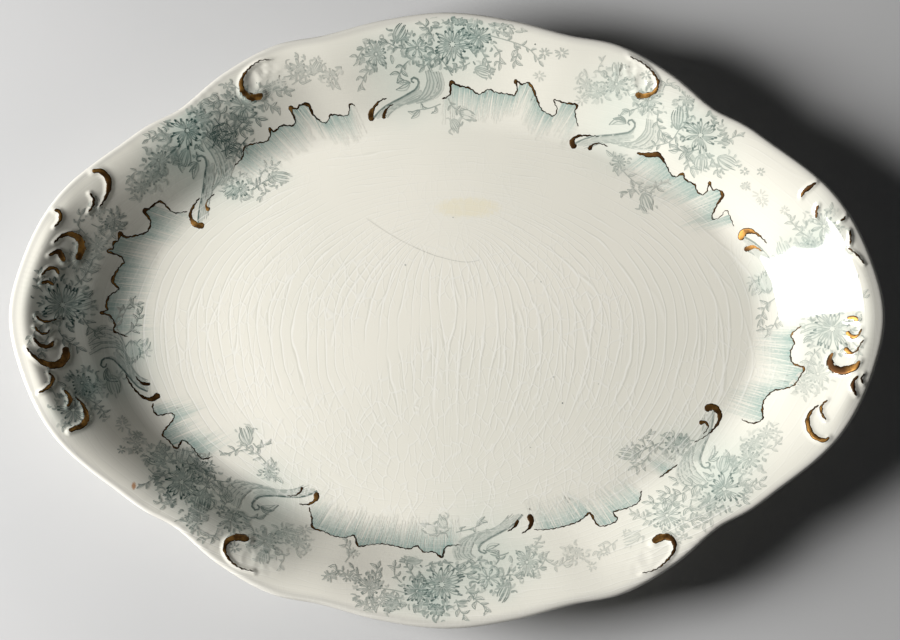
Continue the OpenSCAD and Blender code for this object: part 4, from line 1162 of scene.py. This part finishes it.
def gold_strokes(name, strokes):
    """Closed domed strokes: at each station a half ellipse across the width, sunk a
    little into the glaze below, with ends that narrow as a quarter circle. A fine line
    shakes a little from side to side, by two sines, as a hand does."""
    points, faces, inward, base = [], [], [], 0
    across = np.linspace(-1, 1, 7)
    for stroke in strokes:
        line = brush_line(stroke)
        along = np.concatenate([[0], np.cumsum(np.hypot(*np.diff(line[:, :2], axis=0).T))])
        fine = np.clip(1.2 - line[:, 2], 0, 1)[:, None]
        shake = 0.16 * np.sin(along * 2.9) + 0.1 * np.sin(along * 5.3 + 2)
        line[:, :2] += fine * shake[:, None] * side_of(line)
        line[:, 2] *= 1 - 0.25 * fine[:, 0]
        ends = np.minimum(along, along[-1] - along) / np.maximum(line[:, 2], 0.05)
        half = line[:, 2] * np.sqrt(1 - (1 - np.clip(ends, 0, 1)) ** 2 * 0.98)
        swell = (0.07 + 0.25 * fine[:, 0]) * np.sin(along * 1.7)
        half = half * (1 + swell + 0.05 * np.sin(along * 5.3 + 1))
        side = side_of(line)
        x = line[:, 0, None] + side[:, 0, None] * half[:, None] * across
        y = line[:, 1, None] + side[:, 1, None] * half[:, None] * across
        floor = surface_height(x, y)
        dome = GOLD_THICKNESS * np.sqrt(1 - 0.98 * across**2)
        top = np.dstack([x, y, floor + dome])
        low = np.dstack([x[:, ::-1], y[:, ::-1], floor[:, ::-1] - GOLD_SUNK])
        loop = np.concatenate([top, low], axis=1)
        n, m = loop.shape[:2]
        points.append(loop.reshape(-1, 3))
        inward.append(np.tile(half[:, None] * (1 - np.abs(across)), 2).ravel())
        faces.append(base + grid_faces(n, m)[:, ::-1])
        fan = np.arange(1, m - 1)
        faces.append(base + np.column_stack([0 * fan, fan, fan + 1]))
        faces.append(base + (n - 1) * m + np.column_stack([0 * fan, fan + 1, fan]))
        base += n * m
    return make_mesh(name, np.vstack(points), np.vstack(faces), {"inward": np.concatenate(inward)})


gold, place, shader = new_material("worn_gold")
worn = place.noise(260, 3, 0.6)
bright = worn.step(0.3, 0.7).mix(GOLD_WORN, GOLD_BRIGHT)
browned = place.noise(70, 2).step(0.4, 0.62).mix(bright, GOLD_BROWN)
edged = place.attribute("inward").step(0.12, 0.55).mix(GOLD_EDGE, browned)
connect(shader, Base_Color=edged, Roughness=0.36 + worn * 0.24)
shader.inputs["Metallic"].default_value = 0.9


def gild(name, strokes, node):
    """One gold piece in place of its CAD node."""
    piece = gold_strokes(name, strokes)
    piece.data.materials.append(gold)
    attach(piece, "root")
    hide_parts(node)


for scroll, group in SCROLLS.items():
    for corner, strokes in group.items():
        gild(f"{scroll}_gold_{corner}", strokes, f"{scroll}_gilding_{corner}")
for number, strokes in enumerate(LEAF_TIPS, 1):
    gild(f"leaf_tip_gold_{number}", strokes, f"leaf_tip_gilding_{number}")
for number, strokes in enumerate(ROCAILLE_LINES, 1):
    gild(f"rocaille_gold_{number}", strokes, f"rocaille_line_gilding_{number}")


# Printed shading. Fine hatching under the glaze that starts at each wavy gold line
# and fades towards the well, so the border seems to lie over a soft shadow.

# Step of the strips round the view in radians, the steps that a running mean takes and
# over which the ends fade, and a strip's usual and least length as shares of the view
HATCH_STEP, HATCH_MEAN, HATCH_ENDS = 0.0026, 25, 14
HATCH_LENGTH, HATCH_LEAST = 0.09, 0.03


def hatching(line):
    """Strips from the innermost point of a wavy line at each small step of turn, running in
    towards the middle of the view and fading out. A strip is as much longer than usual as
    the line stands out there beyond its own running mean."""
    p = np.asarray(line, float)
    u = np.linspace(0, len(p) - 1, 60 * len(p))
    x, y = (np.interp(u, np.arange(len(p)), p[:, i]) for i in (0, 1))
    across, up = (x - VIEW_MIDDLE[0]) / VIEW_HALF[0], (VIEW_MIDDLE[1] - y) / VIEW_HALF[1]
    turn = np.unwrap(np.arctan2(up, across))
    slot = ((turn - turn.min()) / HATCH_STEP).astype(int)
    inner = np.full(slot.max() + 1, np.inf)
    np.minimum.at(inner, slot, np.hypot(across, up))
    steps = np.flatnonzero(np.isfinite(inner))
    inner, count = inner[steps], len(steps)
    padded = np.pad(inner, HATCH_MEAN // 2, "edge")
    smooth = np.convolve(padded, np.ones(HATCH_MEAN) / HATCH_MEAN, "valid")
    fall = np.maximum(inner - smooth + HATCH_LENGTH, HATCH_LEAST) * draw.uniform(0.6, 1.15, count)
    t = np.linspace(0, 1, STATIONS)
    a = (turn.min() + (steps + 0.5) * HATCH_STEP + draw.normal(0, 0.001, count))[:, None]
    a = a + draw.normal(0, 0.006, (count, 1)) * t
    r = inner[:, None] - fall[:, None] * t
    from_end = np.minimum(np.arange(count), np.arange(count)[::-1])[:, None]
    shade = 0.27 * np.minimum(1, from_end / HATCH_ENDS) * draw.uniform(0.55, 1.2, (count, 1))
    add_lines(VIEW_MIDDLE[0] + VIEW_HALF[0] * r * np.cos(a),
              VIEW_MIDDLE[1] - VIEW_HALF[1] * r * np.sin(a), 1.0, shade * (1 - t) ** 1.1)


printed_strips("printed_shading", drawn(
    (hatching, [(stroke,) for strokes in ROCAILLE_LINES for stroke in strokes])),
    lowest=0.025, haze=3.0)


# Marks of use. A long thin knife scratch over the well and a few dark specks of
# kiln dust under the glaze, drawn as the print is.
SCRATCHES = [
    ([(366, 220), (380, 230), (398, 241), (414, 249)], 0.6, 0.18),
    ([(414, 249), (433, 257), (456, 263), (470, 264), (479, 262)], 0.7, 0.3),
]
SPECKS = [
    (405, 267, 1.5, 0.9), (541, 284, 1.1, 0.7), (553, 379, 1.5, 0.9), (562, 405, 1.3, 0.85),
    (453, 219, 1.2, 0.6), (530, 449, 1.0, 0.6), (536, 43, 1.4, 0.9), (598, 386, 1.0, 0.5),
]


def scratch(points, width, tone):
    """One line through points of the view."""
    add_lines(*through(points).T, width, tone)


def speck(px, py, size, tone):
    """One dot: a line as long as it is wide, narrowed at both ends."""
    add_lines(px + np.linspace(-0.5, 0.5, STATIONS) * size, py, size * taper(1.0, 0.4, 0.4), tone)


printed_strips("marks_of_use", drawn((scratch, SCRATCHES), (speck, SPECKS)), haze=0)


# Table top and studio. A plain pale table, a broad lamp at the left like a tall
# window, a weak one at the back right, and a camera above, leaning to the front.
TABLE_HALF = 2500
TABLE_GREY, TABLE_PALE = colour(186, 187, 188), colour(192, 192, 193)
corners = [(x * TABLE_HALF, y * TABLE_HALF, 0) for x, y in ((-1, -1), (1, -1), (1, 1), (-1, 1))]
table = make_mesh("table_top", corners, [(0, 1, 2, 3)], smooth=False)
table_paint, place, shader = new_material("matt_grey_paint")
connect(shader, Base_Color=place.noise(14, 2).mix(TABLE_GREY, TABLE_PALE))
shader.inputs["Roughness"].default_value = 0.8
table.data.materials.append(table_paint)

# Height over the table, in metres, of the point that the lamps face
LAMPS_FACE = 0.02


def lamp(name, place, size, watts, tint):
    """A rectangular lamp that faces a point over the middle of the well, with its place and
    size in metres."""
    data = bpy.data.lights.new(name, "AREA")
    data.shape, (data.size, data.size_y) = "RECTANGLE", size
    data.energy, data.color = watts, tint
    obj = bpy.data.objects.new(name, data)
    bpy.context.scene.collection.objects.link(obj)
    x, y, z = place
    obj.location = place
    obj.rotation_euler = (np.arctan2(np.hypot(x, y), z - LAMPS_FACE), 0, np.arctan2(x, -y))


lamp("window_lamp", (-1.15, -0.1, 0.645), (0.52, 0.6), 35.0, (1, 0.99, 0.97))
lamp("fill_lamp", (0.9, 1.0, 1.2), (1.6, 1.6), 0.35, (0.96, 0.98, 1))
scene = bpy.context.scene
scene.world = bpy.data.worlds.new("studio")
scene.world.use_nodes = True
background = scene.world.node_tree.nodes["Background"].inputs
background["Color"].default_value = (0.8, 0.82, 0.84, 1)
background["Strength"].default_value = 0.026

# Perspective draws the back edge nearer to the middle than the front edge, so the aim is
# a little to the front of the middle
PICTURE, SENSOR_WIDTH, AIM_FORWARD = (900, 640), 36, 0.9
aim = np.array([(PICTURE[0] / 2 - VIEW_MIDDLE[0]) * PIXEL,
                (VIEW_MIDDLE[1] - PICTURE[1] / 2) / VIEW_HALF[1] * HALF_WIDTH - AIM_FORWARD,
                VIEW_HEIGHT])
lean = np.arctan(VIEW_LEAN)
camera_data = bpy.data.cameras.new("view_from_above")
camera_data.sensor_width = SENSOR_WIDTH
camera_data.lens = SENSOR_WIDTH / PICTURE[0] * VIEW_DISTANCE / PIXEL
camera = bpy.data.objects.new("view_from_above", camera_data)
camera.location = (aim + VIEW_DISTANCE * np.array([0, -np.sin(lean), np.cos(lean)])) * MM
camera.rotation_euler = (lean, 0, 0)
scene.collection.objects.link(camera)
scene.camera = camera
scene.view_settings.view_transform = "Standard"
